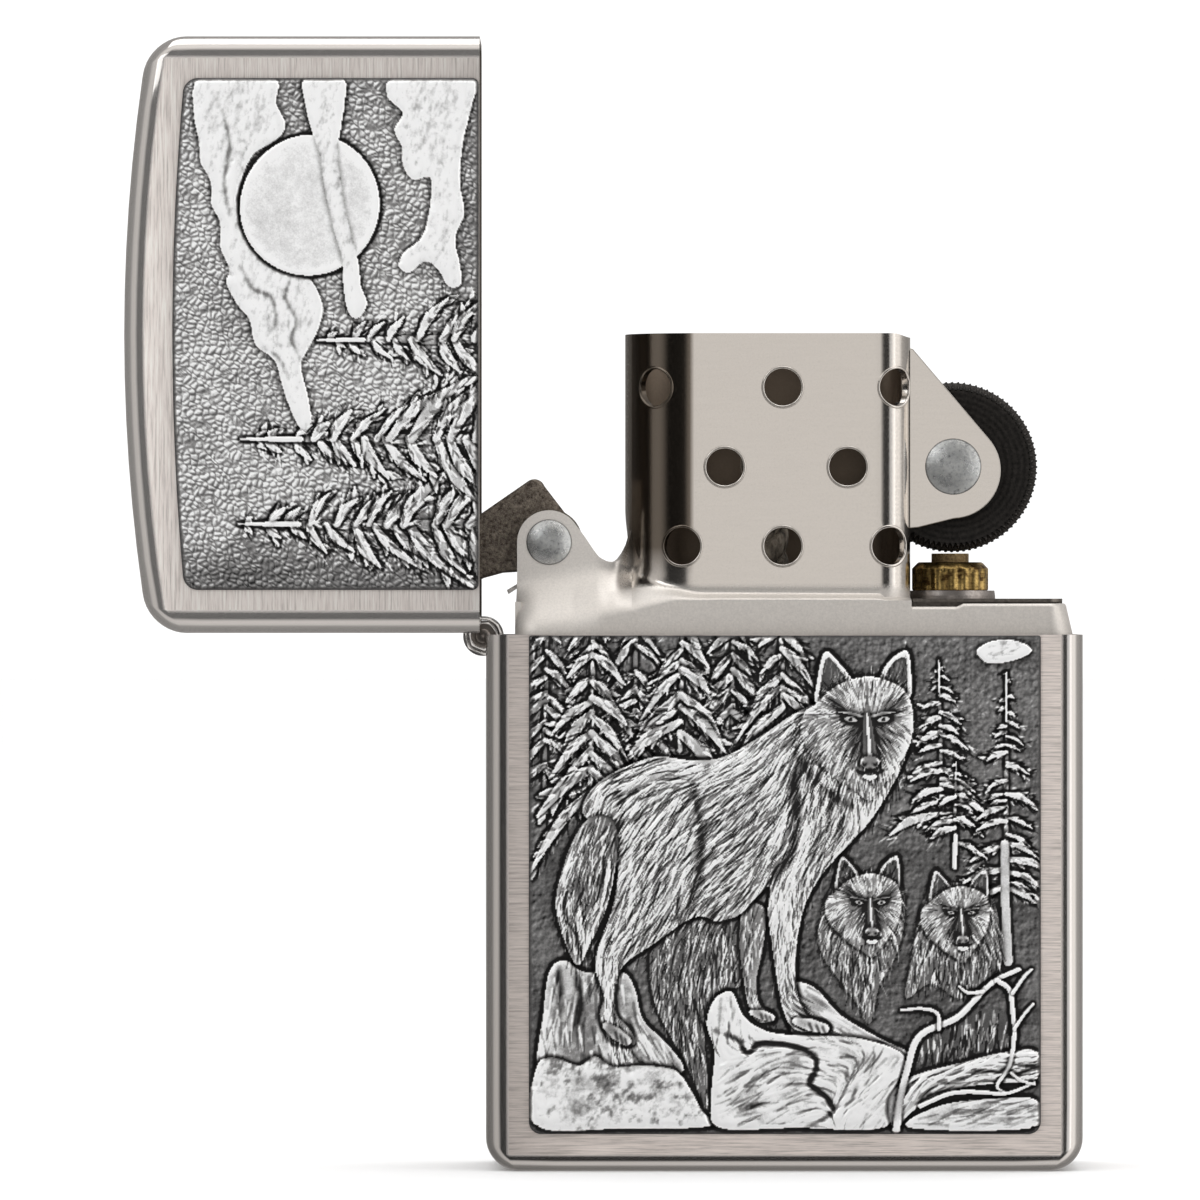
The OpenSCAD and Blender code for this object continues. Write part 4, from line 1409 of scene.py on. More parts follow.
# ---------------------------------------------------------------- artwork
CASE_PLATE_LOW, CASE_PLATE_HIGH = box_mm("case_emblem")
LID_PLATE_LOW, LID_PLATE_HIGH = box_mm("lid_emblem")
PLATE_W = CASE_PLATE_HIGH[0] - CASE_PLATE_LOW[0]
CASE_PLATE_H = CASE_PLATE_HIGH[2] - CASE_PLATE_LOW[2]
LID_PLATE_H = LID_PLATE_HIGH[0] - LID_PLATE_LOW[0]
PLATE_FOOT = {
    "case_relief": CASE_PLATE_LOW[2],
    "lid_relief": HINGE_Z + HINGE_X - LID_PLATE_HIGH[0],
}
GROUND = 0.3


def bough(canvas, root, tip, base, width, shine):
    """One pine bough: an arched spine with short side twigs, feathered with needles."""
    root = np.asarray(root, dtype=float)
    tip = np.asarray(tip, dtype=float)
    along = tip - root
    length = np.hypot(*along)
    heading = math.atan2(along[1], along[0])
    across = np.array([-along[1], along[0]]) / length
    middle = root + along * rng.uniform(0.4, 0.6) + np.array([0.0, 0.1 * length])
    spine = curve([root, middle, tip])
    for _ in range(int(length * 1.6)):
        side = rng.choice([-1, 1])
        fork = spine[rng.integers(len(spine) // 5, len(spine) - 1)]
        turn = heading + side * rng.uniform(0.35, 0.8)
        end = fork + width * rng.uniform(1.4, 2.6) * np.array([math.cos(turn), math.sin(turn)])
        widths = [width * 0.5, width * 0.55, width * 0.15]
        canvas.ribbon([fork, (fork + end) / 2, end], widths, base, 0.08, shine - 0.12, 0.08)
    widths = [width * 0.5, width * 0.85, width * 0.2]
    canvas.ribbon([root, middle, tip], widths, base + 0.02, 0.1, shine - 0.08, 0.07)
    for _ in range(int(length * 14)):
        side = rng.choice([-1, 1])
        start = spine[rng.integers(0, len(spine))] + side * across * width * rng.uniform(0, 1.2)
        turn = heading + side * rng.uniform(-0.2, 0.8)
        reach = (0.2 + width) * rng.uniform(0.6, 1.5)
        end = start + reach * np.array([math.cos(turn), math.sin(turn)])
        gain = 1 if rng.random() > 0.45 else -1
        canvas.stroke(np.array([start, end]), rng.uniform(0.07, 0.12), 0.055 * gain, 0.22 * gain)


def pine(canvas, apex, foot, spread, tiers, base, shine, width=0.42, droop=0.7, trunk=0.16):
    """A pine tree: trunk, and tiers of boughs that get longer towards the foot."""
    apex = np.asarray(apex, dtype=float)
    foot = np.asarray(foot, dtype=float)
    canvas.ribbon([apex, (apex + foot) / 2, foot], [trunk * 0.4, trunk, trunk], base, 0.06, shine - 0.15)
    for tier in range(tiers):
        share = (tier + 0.6) / tiers
        for side in (-1, 1):
            root = apex + (foot - apex) * (share * 0.92) + np.array([0.0, rng.uniform(-0.5, 0.5)])
            reach = spread * (0.08 + 0.92 * share) * rng.uniform(0.65, 1.15)
            tip = root + reach * np.array([side * 0.92, -droop * rng.uniform(0.6, 1.3)])
            thick = width * (0.5 + 0.5 * share) * rng.uniform(0.8, 1.2)
            bough(canvas, root, tip, base + 0.04 * share, thick, shine)
    spike = apex + (foot - apex) * 0.2
    widths = [0.05, trunk * 0.5, trunk * 0.5]
    canvas.ribbon([apex, (apex + spike) / 2, spike], widths, base + 0.05, 0.1, shine - 0.02, 0.07)


def paw(canvas, heel, toe, half, base, shine):
    """A wolf's paw: a rounded foot with its toes marked off by short creases."""
    heel = np.asarray(heel, dtype=float)
    toe = np.asarray(toe, dtype=float)
    canvas.ribbon([heel, (heel + toe) / 2, toe], [half * 0.6, half, half * 0.8], base, 0.13, shine, 0.1)
    along = toe - heel
    for share in (0.45, 0.7, 0.92):
        start = heel + along * share
        canvas.crease([start + [0.0, half * 0.3], start + along * 0.14 - [0.0, half * 0.9]], 0.09, 0.06, 0.45)
    canvas.crease([heel, heel + along * 0.4], 0.3, 0.0, 0.2)


def wolf_face(canvas, centre, size, base, shine, hair):
    """A wolf's head seen from the front: ears, head, brow, eyes, muzzle and nose.

    centre is the point between the eyes; size scales every distance.
    """
    centre = np.asarray(centre, dtype=float)

    def at(*points):
        return [centre + size * np.array(p) for p in points]

    left_ear = at((-3.2, 0.9), (-3.15, 2.6), (-2.65, 4.35), (-1.7, 3.6), (-0.9, 2.3), (-1.6, 0.9))
    right_ear = at((0.75, 2.0), (1.3, 3.6), (2.55, 4.4), (2.85, 3.0), (2.75, 1.3), (1.6, 1.0))
    for ear in (left_ear, right_ear):
        shape = canvas.form(ear, base, 0.14, 0.35 * size, shine, 0.12)
        middle = np.mean(ear, axis=0)
        hollow = [middle + (p - middle) * np.array([0.72, 0.78]) for p in ear]
        canvas.form(hollow, base - 0.03, 0.03, 0.6 * size, 0.2, 0.0, 0.1)
        canvas.hair(shape, [(*middle, 80)], 7 * hair, 0.8 * size, 0.055, 0.025, 0.2)
    head = canvas.form(
        at(
            (-3.25, 1.0), (-2.3, 1.9), (-1.2, 2.5), (0.1, 2.75), (1.3, 2.5), (2.5, 1.8), (3.0, 0.2),
            (2.75, -1.6), (1.9, -3.1), (0.9, -4.4), (0.2, -5.2), (-0.7, -4.6), (-1.7, -4.0),
            (-2.6, -3.2), (-3.6, -2.2), (-4.2, -0.9), (-4.0, 0.4),
        ),
        base + 0.02, 0.2, 1.5 * size, shine, 0.06, 0.2
    )
    for s in (-1, 1):
        canvas.crease(at((s * 0.1, 0.4), (s * 0.6, 1.2), (s * 1.3, 2.1)), 0.45 * size, -0.02, -0.24)
        canvas.crease(at((s * 1.1, 0.3), (s * 1.9, 0.9), (s * 2.5, 1.5)), 0.35 * size, 0.03, 0.26)
        cheek = at((s * 2.7, 0.2), (s * 2.6, -1.2), (s * 1.8, -2.8), (s * 0.9, -3.9))
        canvas.crease(cheek, 0.5 * size, -0.03, -0.16)
    fur = [(0.0, 1.6, 92), (-1.2, 1.6, 112), (1.2, 1.5, 68)]
    fur += [(-2.4, 0.6, 160), (2.3, 0.6, 25), (0.0, -4.4, 268)]
    for s in (-1, 1):
        out = 90 - s * 90
        fur += [(s * 1.7, -0.7, out - s * 35), (s * 2.7, -0.9, out - s * 48), (s * 1.5, -2.2, out - s * 62)]
        fur += [(s * 2.3, -2.4, out - s * 60), (s * 0.8, -3.6, out - s * 78)]
    combs = [(*(centre + size * np.array([fu, fv])), angle) for fu, fv, angle in fur]
    canvas.hair(head, combs, 20 * hair, 0.75 * size, 0.052, 0.033, 0.24, 0.42)
    for s in (-1, 1):
        canvas.crease(at((s * 0.4, -0.2), (s * 0.75, -1.3), (s * 0.8, -2.5)), 0.42 * size, 0.08, 0.34)
        canvas.crease(at((s * 0.3, -0.05), (s * 1.0, -0.05), (s * 1.8, 0.15)), 0.26 * size, 0.07, 0.5)
        canvas.ribbon(
            at((s * 0.12, 0.15), (s * 0.95, 0.36), (s * 1.8, 0.5)),
            [0.09 * size, 0.12 * size, 0.04 * size], base + 0.2, 0.06, shine + 0.1, 0.03
        )
    canvas.ribbon(
        at((0.0, 0.9), (0.05, -0.2), (0.15, -1.5), (0.2, -2.6)),
        [0.08 * size, 0.3 * size, 0.4 * size, 0.5 * size], base + 0.17, 0.15, shine - 0.2, 0.02
    )
    canvas.ribbon(
        at((0.02, 0.4), (0.1, -0.8), (0.2, -2.3)), [0.04 * size, 0.1 * size, 0.12 * size],
        base + 0.31, 0.04, shine + 0.3, 0.0
    )
    for s in (-1, 1):
        eye = centre + size * np.array([s * 1.05 + 0.03, 0.0])
        lids = eye + size * np.array([(-0.45, s * -0.06), (0.0, 0.23), (0.45, s * 0.06), (0.0, -0.2)])
        canvas.form(lids, base + 0.15, 0.09, 0.22 * size, 0.55, 0.08, 0.4)
        pupil = eye + 0.13 * size * np.array([(-1, 0), (0, 1), (1, 0), (0, -1)])
        canvas.form(pupil, base + 0.17, 0.0, 0.1, 0.0, 0.0, 0.0)
    canvas.form(
        at((-0.4, -2.5), (0.2, -2.3), (0.8, -2.5), (0.72, -2.95), (0.2, -3.2), (-0.32, -2.95)),
        base + 0.27, 0.08, 0.3 * size, 0.3, 0.05, 0.3
    )
    for s in (-1, 1):
        nostril = at((0.2 + s * 0.2, -2.8), (0.2 + s * 0.38, -2.9), (0.2 + s * 0.46, -2.72))
        canvas.crease(nostril, 0.09, 0.08, 0.5)
        nose_edge = at((0.2 + s * 0.42, -2.5), (0.2 + s * 0.56, -2.7), (0.2 + s * 0.5, -2.9))
        canvas.crease(nose_edge, 0.07, -0.03, -0.3)
        lip = at((0.2, -3.15), (0.2 + s * 0.45, -3.4), (0.2 + s * 1.0, -3.15))
        canvas.crease(lip, 0.11 * size, 0.09, 0.7)
    chin = at((-0.15, -3.62), (0.2, -3.7), (0.55, -3.62))
    canvas.ribbon(chin, [0.12, 0.2 * size, 0.12], base + 0.2, 0.07, 0.85, 0.03)


def main_wolf(canvas):
    """The standing wolf, side on, with its head turned to the front."""
    low = 0.42
    far_leg = canvas.form(
        [
            (13.7, 14.6), (13.4, 12.3), (13.6, 10.3), (13.9, 8.4), (14.5, 7.2), (15.65, 7.2), (15.4, 7.7),
            (14.7, 8.3), (14.5, 9.8), (14.9, 11.8), (15.1, 14.3),
        ],
        low - 0.04, 0.12, 0.6, 0.42, 0.12
    )
    canvas.hair(far_leg, [(14.2, 12, -95), (14.0, 8, -80)], 12, 0.8, 0.065, 0.03, 0.24)
    paw(canvas, (14.2, 7.75), (15.4, 7.45), 0.34, low, 0.5)
    body = canvas.form(
        [
            (16.9, 26.8), (14.8, 25.4), (12.4, 24.05), (10.3, 23.85), (8.1, 24.05), (5.9, 23.3), (4.1, 22.1),
            (3.4, 20.5), (4.6, 19.2), (5.6, 17.2), (5.35, 14.6), (4.5, 12.2), (4.2, 10.6), (4.75, 8.8),
            (4.5, 7.4), (5.3, 5.85), (6.7, 5.7), (6.5, 6.6), (5.6, 7.7), (5.5, 9.3), (6.1, 10.8),
            (8.1, 12.2), (9.9, 13.5), (11.0, 13.85), (12.0, 13.55), (13.4, 13.95), (14.4, 15.0), (15.3, 15.7),
            (15.2, 14.0), (15.5, 11.8), (15.95, 8.8), (16.5, 7.1), (17.4, 6.5), (19.1, 6.55), (18.9, 7.15),
            (17.7, 7.6), (17.05, 9.3), (17.05, 11.8), (17.5, 14.3), (18.5, 16.3), (19.9, 17.95), (21.7, 19.9),
            (23.2, 22.3), (24.1, 24.6), (23.6, 27.0), (21.0, 27.8), (18.8, 27.6),
        ],
        low, 0.27, 2.6, 0.52, 0.16, 0.5
    )
    combs = [
        (16.0, 25.5, 225), (13.0, 23.0, 205), (9.5, 23.0, 190), (6.0, 22.4, 205), (4.3, 21.0, 250),
        (6.5, 20.0, 238), (9.3, 20.5, 235), (8.5, 17.0, 238), (6.8, 14.5, 245), (6.2, 12.2, 240),
        (5.0, 10.5, 262), (5.2, 7.5, 280), (9.8, 15.5, 250), (11.5, 20.0, 222), (13.0, 18.0, 215),
        (12.0, 15.5, 222), (14.8, 20.5, 232), (15.2, 17.5, 240), (17.5, 23.0, 250), (18.0, 20.0, 255),
        (19.0, 18.8, 240), (21.0, 21.0, 262), (22.6, 22.5, 275), (16.6, 14.5, 268), (16.3, 10.5, 274),
        (17.3, 7.2, 330),
    ]
    for path, width, lift, glow in (
        ([(6.5, 22.6), (9.5, 23.2), (12.5, 23.2), (15.0, 24.6)], 0.7, 0.05, 0.14),
        ([(5.9, 21.5), (6.4, 18.5), (6.6, 15.6)], 0.5, 0.05, 0.2),
        ([(9.6, 21.5), (9.9, 19.0), (9.6, 16.5), (8.6, 14.6)], 0.6, 0.06, 0.2),
        ([(15.6, 22.6), (15.8, 20.0), (15.4, 17.6)], 0.7, 0.06, 0.18),
        ([(18.3, 20.2), (17.4, 18.2), (16.3, 15.6), (16.2, 12.0)], 0.6, 0.06, 0.2),
        ([(20.3, 19.2), (22.2, 21.2), (23.4, 23.6)], 0.5, 0.05, 0.16),
    ):
        canvas.crease(path, width, -lift, -glow)
    canvas.hair(body, combs, 14, 1.5, 0.065, 0.034, 0.23, 0.45)
    canvas.hair(body, combs, 4, 0.8, 0.055, 0.03, 0.26, 0.25)
    canvas.crease([(10.4, 22.2), (10.9, 19.8), (10.9, 17.2), (10.4, 14.9), (9.9, 13.7)], 0.3, 0.11, 0.42)
    canvas.crease([(16.9, 23.4), (17.0, 20.5), (16.6, 17.8), (15.4, 16.2)], 0.32, 0.13, 0.5)
    canvas.crease([(5.6, 22.4), (5.9, 20.4), (5.6, 18.6)], 0.28, 0.07, 0.3)
    canvas.crease([(17.2, 26.6), (16.9, 25.0), (17.6, 23.2), (19.3, 21.6), (21.0, 20.6)], 0.26, 0.08, 0.35)
    paw(canvas, (17.0, 7.2), (18.8, 6.75), 0.42, low + 0.1, 0.58)
    paw(canvas, (4.9, 6.9), (6.2, 5.95), 0.42, low + 0.1, 0.52)
    tail = canvas.form(
        [
            (5.2, 20.2), (3.9, 20.2), (2.9, 18.9), (2.2, 17.1), (1.7, 14.9), (2.05, 12.9), (3.05, 10.75),
            (3.95, 12.2), (4.95, 14.4), (5.5, 16.8), (5.7, 18.9),
        ],
        low + 0.06, 0.2, 1.5, 0.34, 0.1, 0.3
    )
    combs = [(3.9, 19, -110), (2.6, 16.5, -108), (4.4, 16.5, -95)]
    combs += [(2.6, 13.5, -72), (4.1, 13.8, -115), (3.1, 11.6, -88)]
    canvas.hair(tail, combs, 15, 1.3, 0.07, 0.035, 0.26)
    canvas.hair(tail, [(4.4, 20, 250)], 3, 1.0, 0.07, 0.03, 0.2)
    wolf_face(canvas, (21.5, 26.4), 1.0, 0.58, 0.48, 1.0)


def rear_wolf(canvas, centre, size, chest):
    """A wolf standing further back: a furry chest below a face."""
    shape = canvas.form(chest, 0.32, 0.15, 1.4, 0.36, 0.03, 0.12)
    middle = np.mean(chest, axis=0)
    combs = [
        (middle[0] - 1.4, middle[1] + 1.5, 245), (middle[0] + 1.4, middle[1] + 1.5, 295),
        (middle[0], middle[1], 270), (middle[0], middle[1] - 2.5, 270),
    ]
    canvas.hair(shape, combs, 18, 0.8, 0.06, 0.035, 0.26, 0.4)
    wolf_face(canvas, centre, size, 0.4, 0.44, 1.2)


def rock(canvas, outline, base, rise, shine, roughness):
    """A boulder with a fractured, worn surface."""
    shape = canvas.form(outline, base, rise, 0.9, shine, 0.15, 0.5)
    rough = mottle(shape["u"], shape["v"], 1.6, 5)
    fade = np.clip(shape["gap"] / 0.4, 0, 1) * shape["inside"]
    canvas.level[shape["part"]] += roughness * rough * fade
    canvas.tone[shape["part"]] += 0.13 * rough * fade
    return shape


def forest_floor(canvas):
    """Rocks, fallen log and dry twigs along the bottom."""
    shade = canvas.form(
        [
            (7.9, 12.0), (9.8, 13.5), (13.3, 13.8), (13.7, 9.8), (12.0, 8.9), (11.2, 6.8), (11.5, 3.0),
            (11.9, 0.7), (11.0, 0.8), (10.8, 2.6), (9.8, 4.8), (8.2, 7.8), (7.7, 10.0),
        ],
        0.33, 0.1, 1.2, 0.3, 0.06
    )
    canvas.hair(
        shade, [(10, 12, 255), (9, 9, 265), (12, 11, 262), (10.6, 6, 280), (11.3, 2, 278)],
        15, 1.0, 0.06, 0.035, 0.26, 0.42
    )
    upper = rock(
        canvas,
        [
            (0.7, 4.0), (0.9, 7.7), (1.3, 10.4), (2.3, 11.1), (3.4, 10.4), (4.6, 10.3), (6.1, 10.3),
            (6.8, 9.2), (7.3, 7.3), (8.8, 5.8), (9.9, 4.1), (8.0, 3.4), (4.0, 3.8),
        ],
        0.38, 0.16, 0.62, 0.06
    )
    canvas.hair(upper, [(2, 9, 262), (6, 9, 275), (8, 6, 300)], 3, 1.4, 0.12, 0.03, 0.2, 0.5)
    canvas.crease([(3.1, 10.3), (3.3, 8.4), (3.1, 6.6)], 0.3, 0.12, 0.5)
    canvas.crease([(1.9, 10.6), (2.0, 8.6), (1.7, 6.9)], 0.22, 0.08, 0.4)
    block = rock(
        canvas,
        [
            (0.4, 0.5), (0.45, 4.2), (1.5, 4.9), (3.2, 4.4), (4.2, 5.0), (5.4, 4.3), (7.2, 4.4), (9.3, 4.1),
            (10.3, 2.9), (11.0, 1.6), (11.5, 0.5), (6.0, 0.35),
        ],
        0.4, 0.2, 0.8, 0.05
    )
    pits = mottle(block["u"], block["v"], 0.8, 4)
    canvas.level[block["part"]] -= 0.07 * np.abs(pits) * block["inside"]
    # Darker in the pits, plus painted light and shade from one side
    pitted = 0.18 * smooth((pits - 0.1) / 0.9) + 0.3 * painted_side_light(pits, 1, -1)
    canvas.tone[block["part"]] -= pitted * block["inside"]
    behind = rock(
        canvas,
        [
            (16.9, 9.3), (17.3, 9.7), (18.4, 9.2), (19.9, 7.6), (22.4, 6.1), (24.2, 5.1), (22.0, 4.0),
            (17.0, 6.0),
        ],
        0.42, 0.14, 0.6, 0.04
    )
    canvas.hair(behind, [(19, 8, 325), (22, 5.5, 335)], 2.5, 1.6, 0.12, 0.02, 0.15, 0.5)
    slab = rock(
        canvas,
        [
            (11.3, 7.0), (11.8, 8.6), (12.9, 9.1), (13.6, 7.7), (14.5, 6.9), (16.0, 6.4), (19.3, 6.3),
            (21.6, 6.0), (23.9, 5.0), (23.4, 3.0), (22.7, 0.45), (17.0, 0.4), (12.1, 0.4), (11.6, 2.3),
            (11.8, 5.2),
        ],
        0.42, 0.2, 0.86, 0.05
    )
    combs = [(14, 3, 35), (19, 5.2, 352), (21.5, 3.2, 225), (15, 1.2, 15), (12.3, 8, 265)]
    canvas.hair(slab, combs, 4.5, 1.5, 0.12, 0.022, 0.17, 0.5)
    canvas.crease(
        [
            (11.9, 6.6), (13.3, 6.0), (13.9, 5.2), (14.8, 5.8), (16.8, 5.6), (18.1, 5.0), (18.3, 4.2),
            (17.9, 3.2), (18.9, 2.4), (19.3, 1.4), (17.6, 0.4),
        ],
        0.2, 0.2, 0.85
    )
    canvas.crease([(19.4, 1.6), (20.4, 2.1), (20.9, 3.0)], 0.14, 0.08, 0.4)
    log = canvas.form(
        [
            (23.9, 3.4), (25.2, 4.0), (27.6, 4.6), (30.0, 5.2), (32.3, 5.3), (32.3, 3.5), (29.5, 3.2),
            (27.4, 2.9), (25.4, 2.2), (24.4, 1.4), (23.2, 0.4), (22.9, 2.2),
        ],
        0.42, 0.17, 0.8, 0.62, 0.12
    )
    canvas.hair(log, [(24, 2, 50), (26, 3.6, 18), (31, 4.4, 8)], 7, 1.8, 0.11, 0.035, 0.3, 0.42)
    slope = [(24.2, 0.4), (26.0, 1.8), (29.5, 2.3), (32.3, 2.2), (32.2, 0.4)]
    bank = rock(canvas, slope, 0.4, 0.14, 0.7, 0.03)
    canvas.hair(bank, [(28, 1.2, 10)], 5, 1.6, 0.1, 0.02, 0.16, 0.5)
    twigs = [
        (
            [
                (23.4, 0.3), (23.6, 2.0), (24.1, 4.2), (24.9, 6.3), (27.2, 7.4), (28.6, 8.8), (29.7, 9.8),
                (31.2, 10.5),
            ],
            0.3,
        ),
        ([(26.1, 6.7), (26.0, 7.7), (25.0, 8.0), (23.7, 7.9)], 0.17),
        ([(28.9, 9.1), (28.0, 9.0), (27.4, 9.4)], 0.16),
        ([(29.8, 9.8), (30.6, 9.2), (30.8, 7.8), (30.9, 6.4), (30.6, 4.4), (29.8, 3.1), (30.4, 2.6)], 0.22),
        ([(30.8, 9.0), (31.5, 10.0), (32.0, 10.5)], 0.16),
        ([(30.9, 6.7), (31.5, 7.6), (32.1, 8.3)], 0.15),
        ([(24.9, 1.8), (26.8, 2.6), (28.6, 2.7), (30.4, 2.6), (32.2, 3.3)], 0.2),
        ([(30.7, 3.9), (31.4, 3.4), (32.2, 3.2)], 0.15),
    ]
    for path, half in twigs:
        canvas.ribbon(path, [half * 0.85, half * 0.75, half * 0.5], 0.48, 0.17, 0.5, 0.1)


def cloud_form(canvas, outline, base, rise=0.14):
    """A soft, lumpy bank of cloud with small pits in it."""
    cloud = canvas.form(outline, base, rise, 0.75, 0.8, 0.03, 0.16)
    lumps = mottle(cloud["u"], cloud["v"] * 1.8, 0.9, 3)
    pits = smooth((mottle(cloud["u"], cloud["v"] * 1.6, 0.5, 2) - 0.55) / 0.5)
    canvas.level[cloud["part"]] += (0.035 * lumps - 0.02 * pits) * cloud["inside"]
    # Painted light: the lumps are shaded brighter on one side, and the pits darker
    canvas.tone[cloud["part"]] += (0.08 + 0.14 * painted_side_light(lumps, 2, 1) - 0.05 * pits) * cloud["inside"]


def case_artwork():
    """Wolves in a pine forest, for the plate on the case."""
    canvas = Canvas(PLATE_W, CASE_PLATE_H)
    u, v = canvas.grid_u, canvas.grid_v
    stones = cobbles(u, v, 0.42)
    sky = smooth((v - 19) / 6)
    grain = mottle(u + v, v - u, 0.42, 2)
    canvas.level += GROUND + 0.02 * stones * sky + 0.02 * grain
    # Painted light: the background grain is shaded brighter on one side by the emboss term
    canvas.tone += 0.33 + 0.1 * (stones - 0.4) * sky + 0.2 * painted_side_light(grain, -1, 1) + 0.08 * mottle(u, v, 2.5)
    pine(canvas, (13.0, 35.6), (13.0, 25.8), 3.6, 8, 0.32, 0.46, 0.42, 1.1)
    pine(canvas, (6.9, 37.0), (6.7, 23.0), 3.6, 10, 0.32, 0.46, 0.42, 1.1)
    pine(canvas, (1.2, 36.0), (1.0, 22.0), 3.6, 11, 0.32, 0.46, 0.42, 1.1)
    pine(canvas, (16.0, 35.0), (16.2, 26.6), 3.6, 8, 0.34, 0.58, 0.45, 1.0)
    pine(canvas, (9.9, 36.5), (9.6, 24.4), 4.3, 10, 0.35, 0.6, 0.5, 1.0)
    pine(canvas, (4.2, 38.0), (3.9, 20.0), 4.0, 14, 0.35, 0.58, 0.5, 1.2)
    pine(canvas, (26.1, 30.2), (26.3, 19.6), 3.3, 13, 0.34, 0.58, 0.32, 0.45, 0.12)
    pine(canvas, (30.4, 29.4), (30.4, 13.8), 3.1, 17, 0.34, 0.58, 0.32, 0.45, 0.14)
    pine(canvas, (27.2, 23.7), (27.1, 18.3), 2.3, 7, 0.36, 0.58, 0.28, 0.45, 0.12)
    canvas.ribbon([(27.15, 19.0), (27.1, 17.0)], [0.16, 0.16], 0.38, 0.1, 0.6)
    canvas.ribbon([(30.3, 18.5), (30.35, 14.5), (30.5, 11.0)], [0.28, 0.3, 0.32], 0.36, 0.12, 0.55)
    cloud = canvas.form(
        [(28.5, 30.7), (29.2, 31.3), (30.6, 31.5), (31.8, 31.1), (31.9, 30.6), (30.6, 30.1), (29.2, 30.0)],
        0.36, 0.1, 0.5, 0.9, 0.02, 0.05
    )
    canvas.hair(cloud, [(30, 30.8, 15)], 6, 0.7, 0.14, -0.02, -0.14, 0.3)
    rear_wolf(
        canvas, (21.7, 14.75), 0.68,
        [
            (19.6, 16.2), (18.5, 13.6), (18.6, 11.6), (19.6, 10.0), (20.8, 8.4), (21.7, 7.0), (22.3, 9.4),
            (23.3, 11.2), (23.9, 13.4), (23.7, 15.8), (21.8, 16.4),
        ]
    )
    rear_wolf(
        canvas, (27.5, 14.1), 0.62,
        [
            (25.5, 15.6), (24.7, 13.0), (24.2, 10.4), (24.0, 8.6), (25.6, 9.6), (27.4, 8.6), (28.8, 9.6),
            (30.0, 10.6), (30.1, 12.6), (29.4, 15.2), (27.5, 16.0),
        ]
    )
    grass = canvas.form(
        [(24.6, 5.4), (25.2, 7.4), (27.2, 7.6), (29.4, 8.0), (30.8, 7.2), (30.2, 5.2), (27.4, 4.4)],
        0.33, 0.05, 1.0, 0.22, 0.0, 0.05
    )
    canvas.hair(grass, [(27, 6, 265)], 10, 0.8, 0.08, 0.04, 0.32, 0.4)
    forest_floor(canvas)
    main_wolf(canvas)
    canvas.finish(0.3)
    return canvas


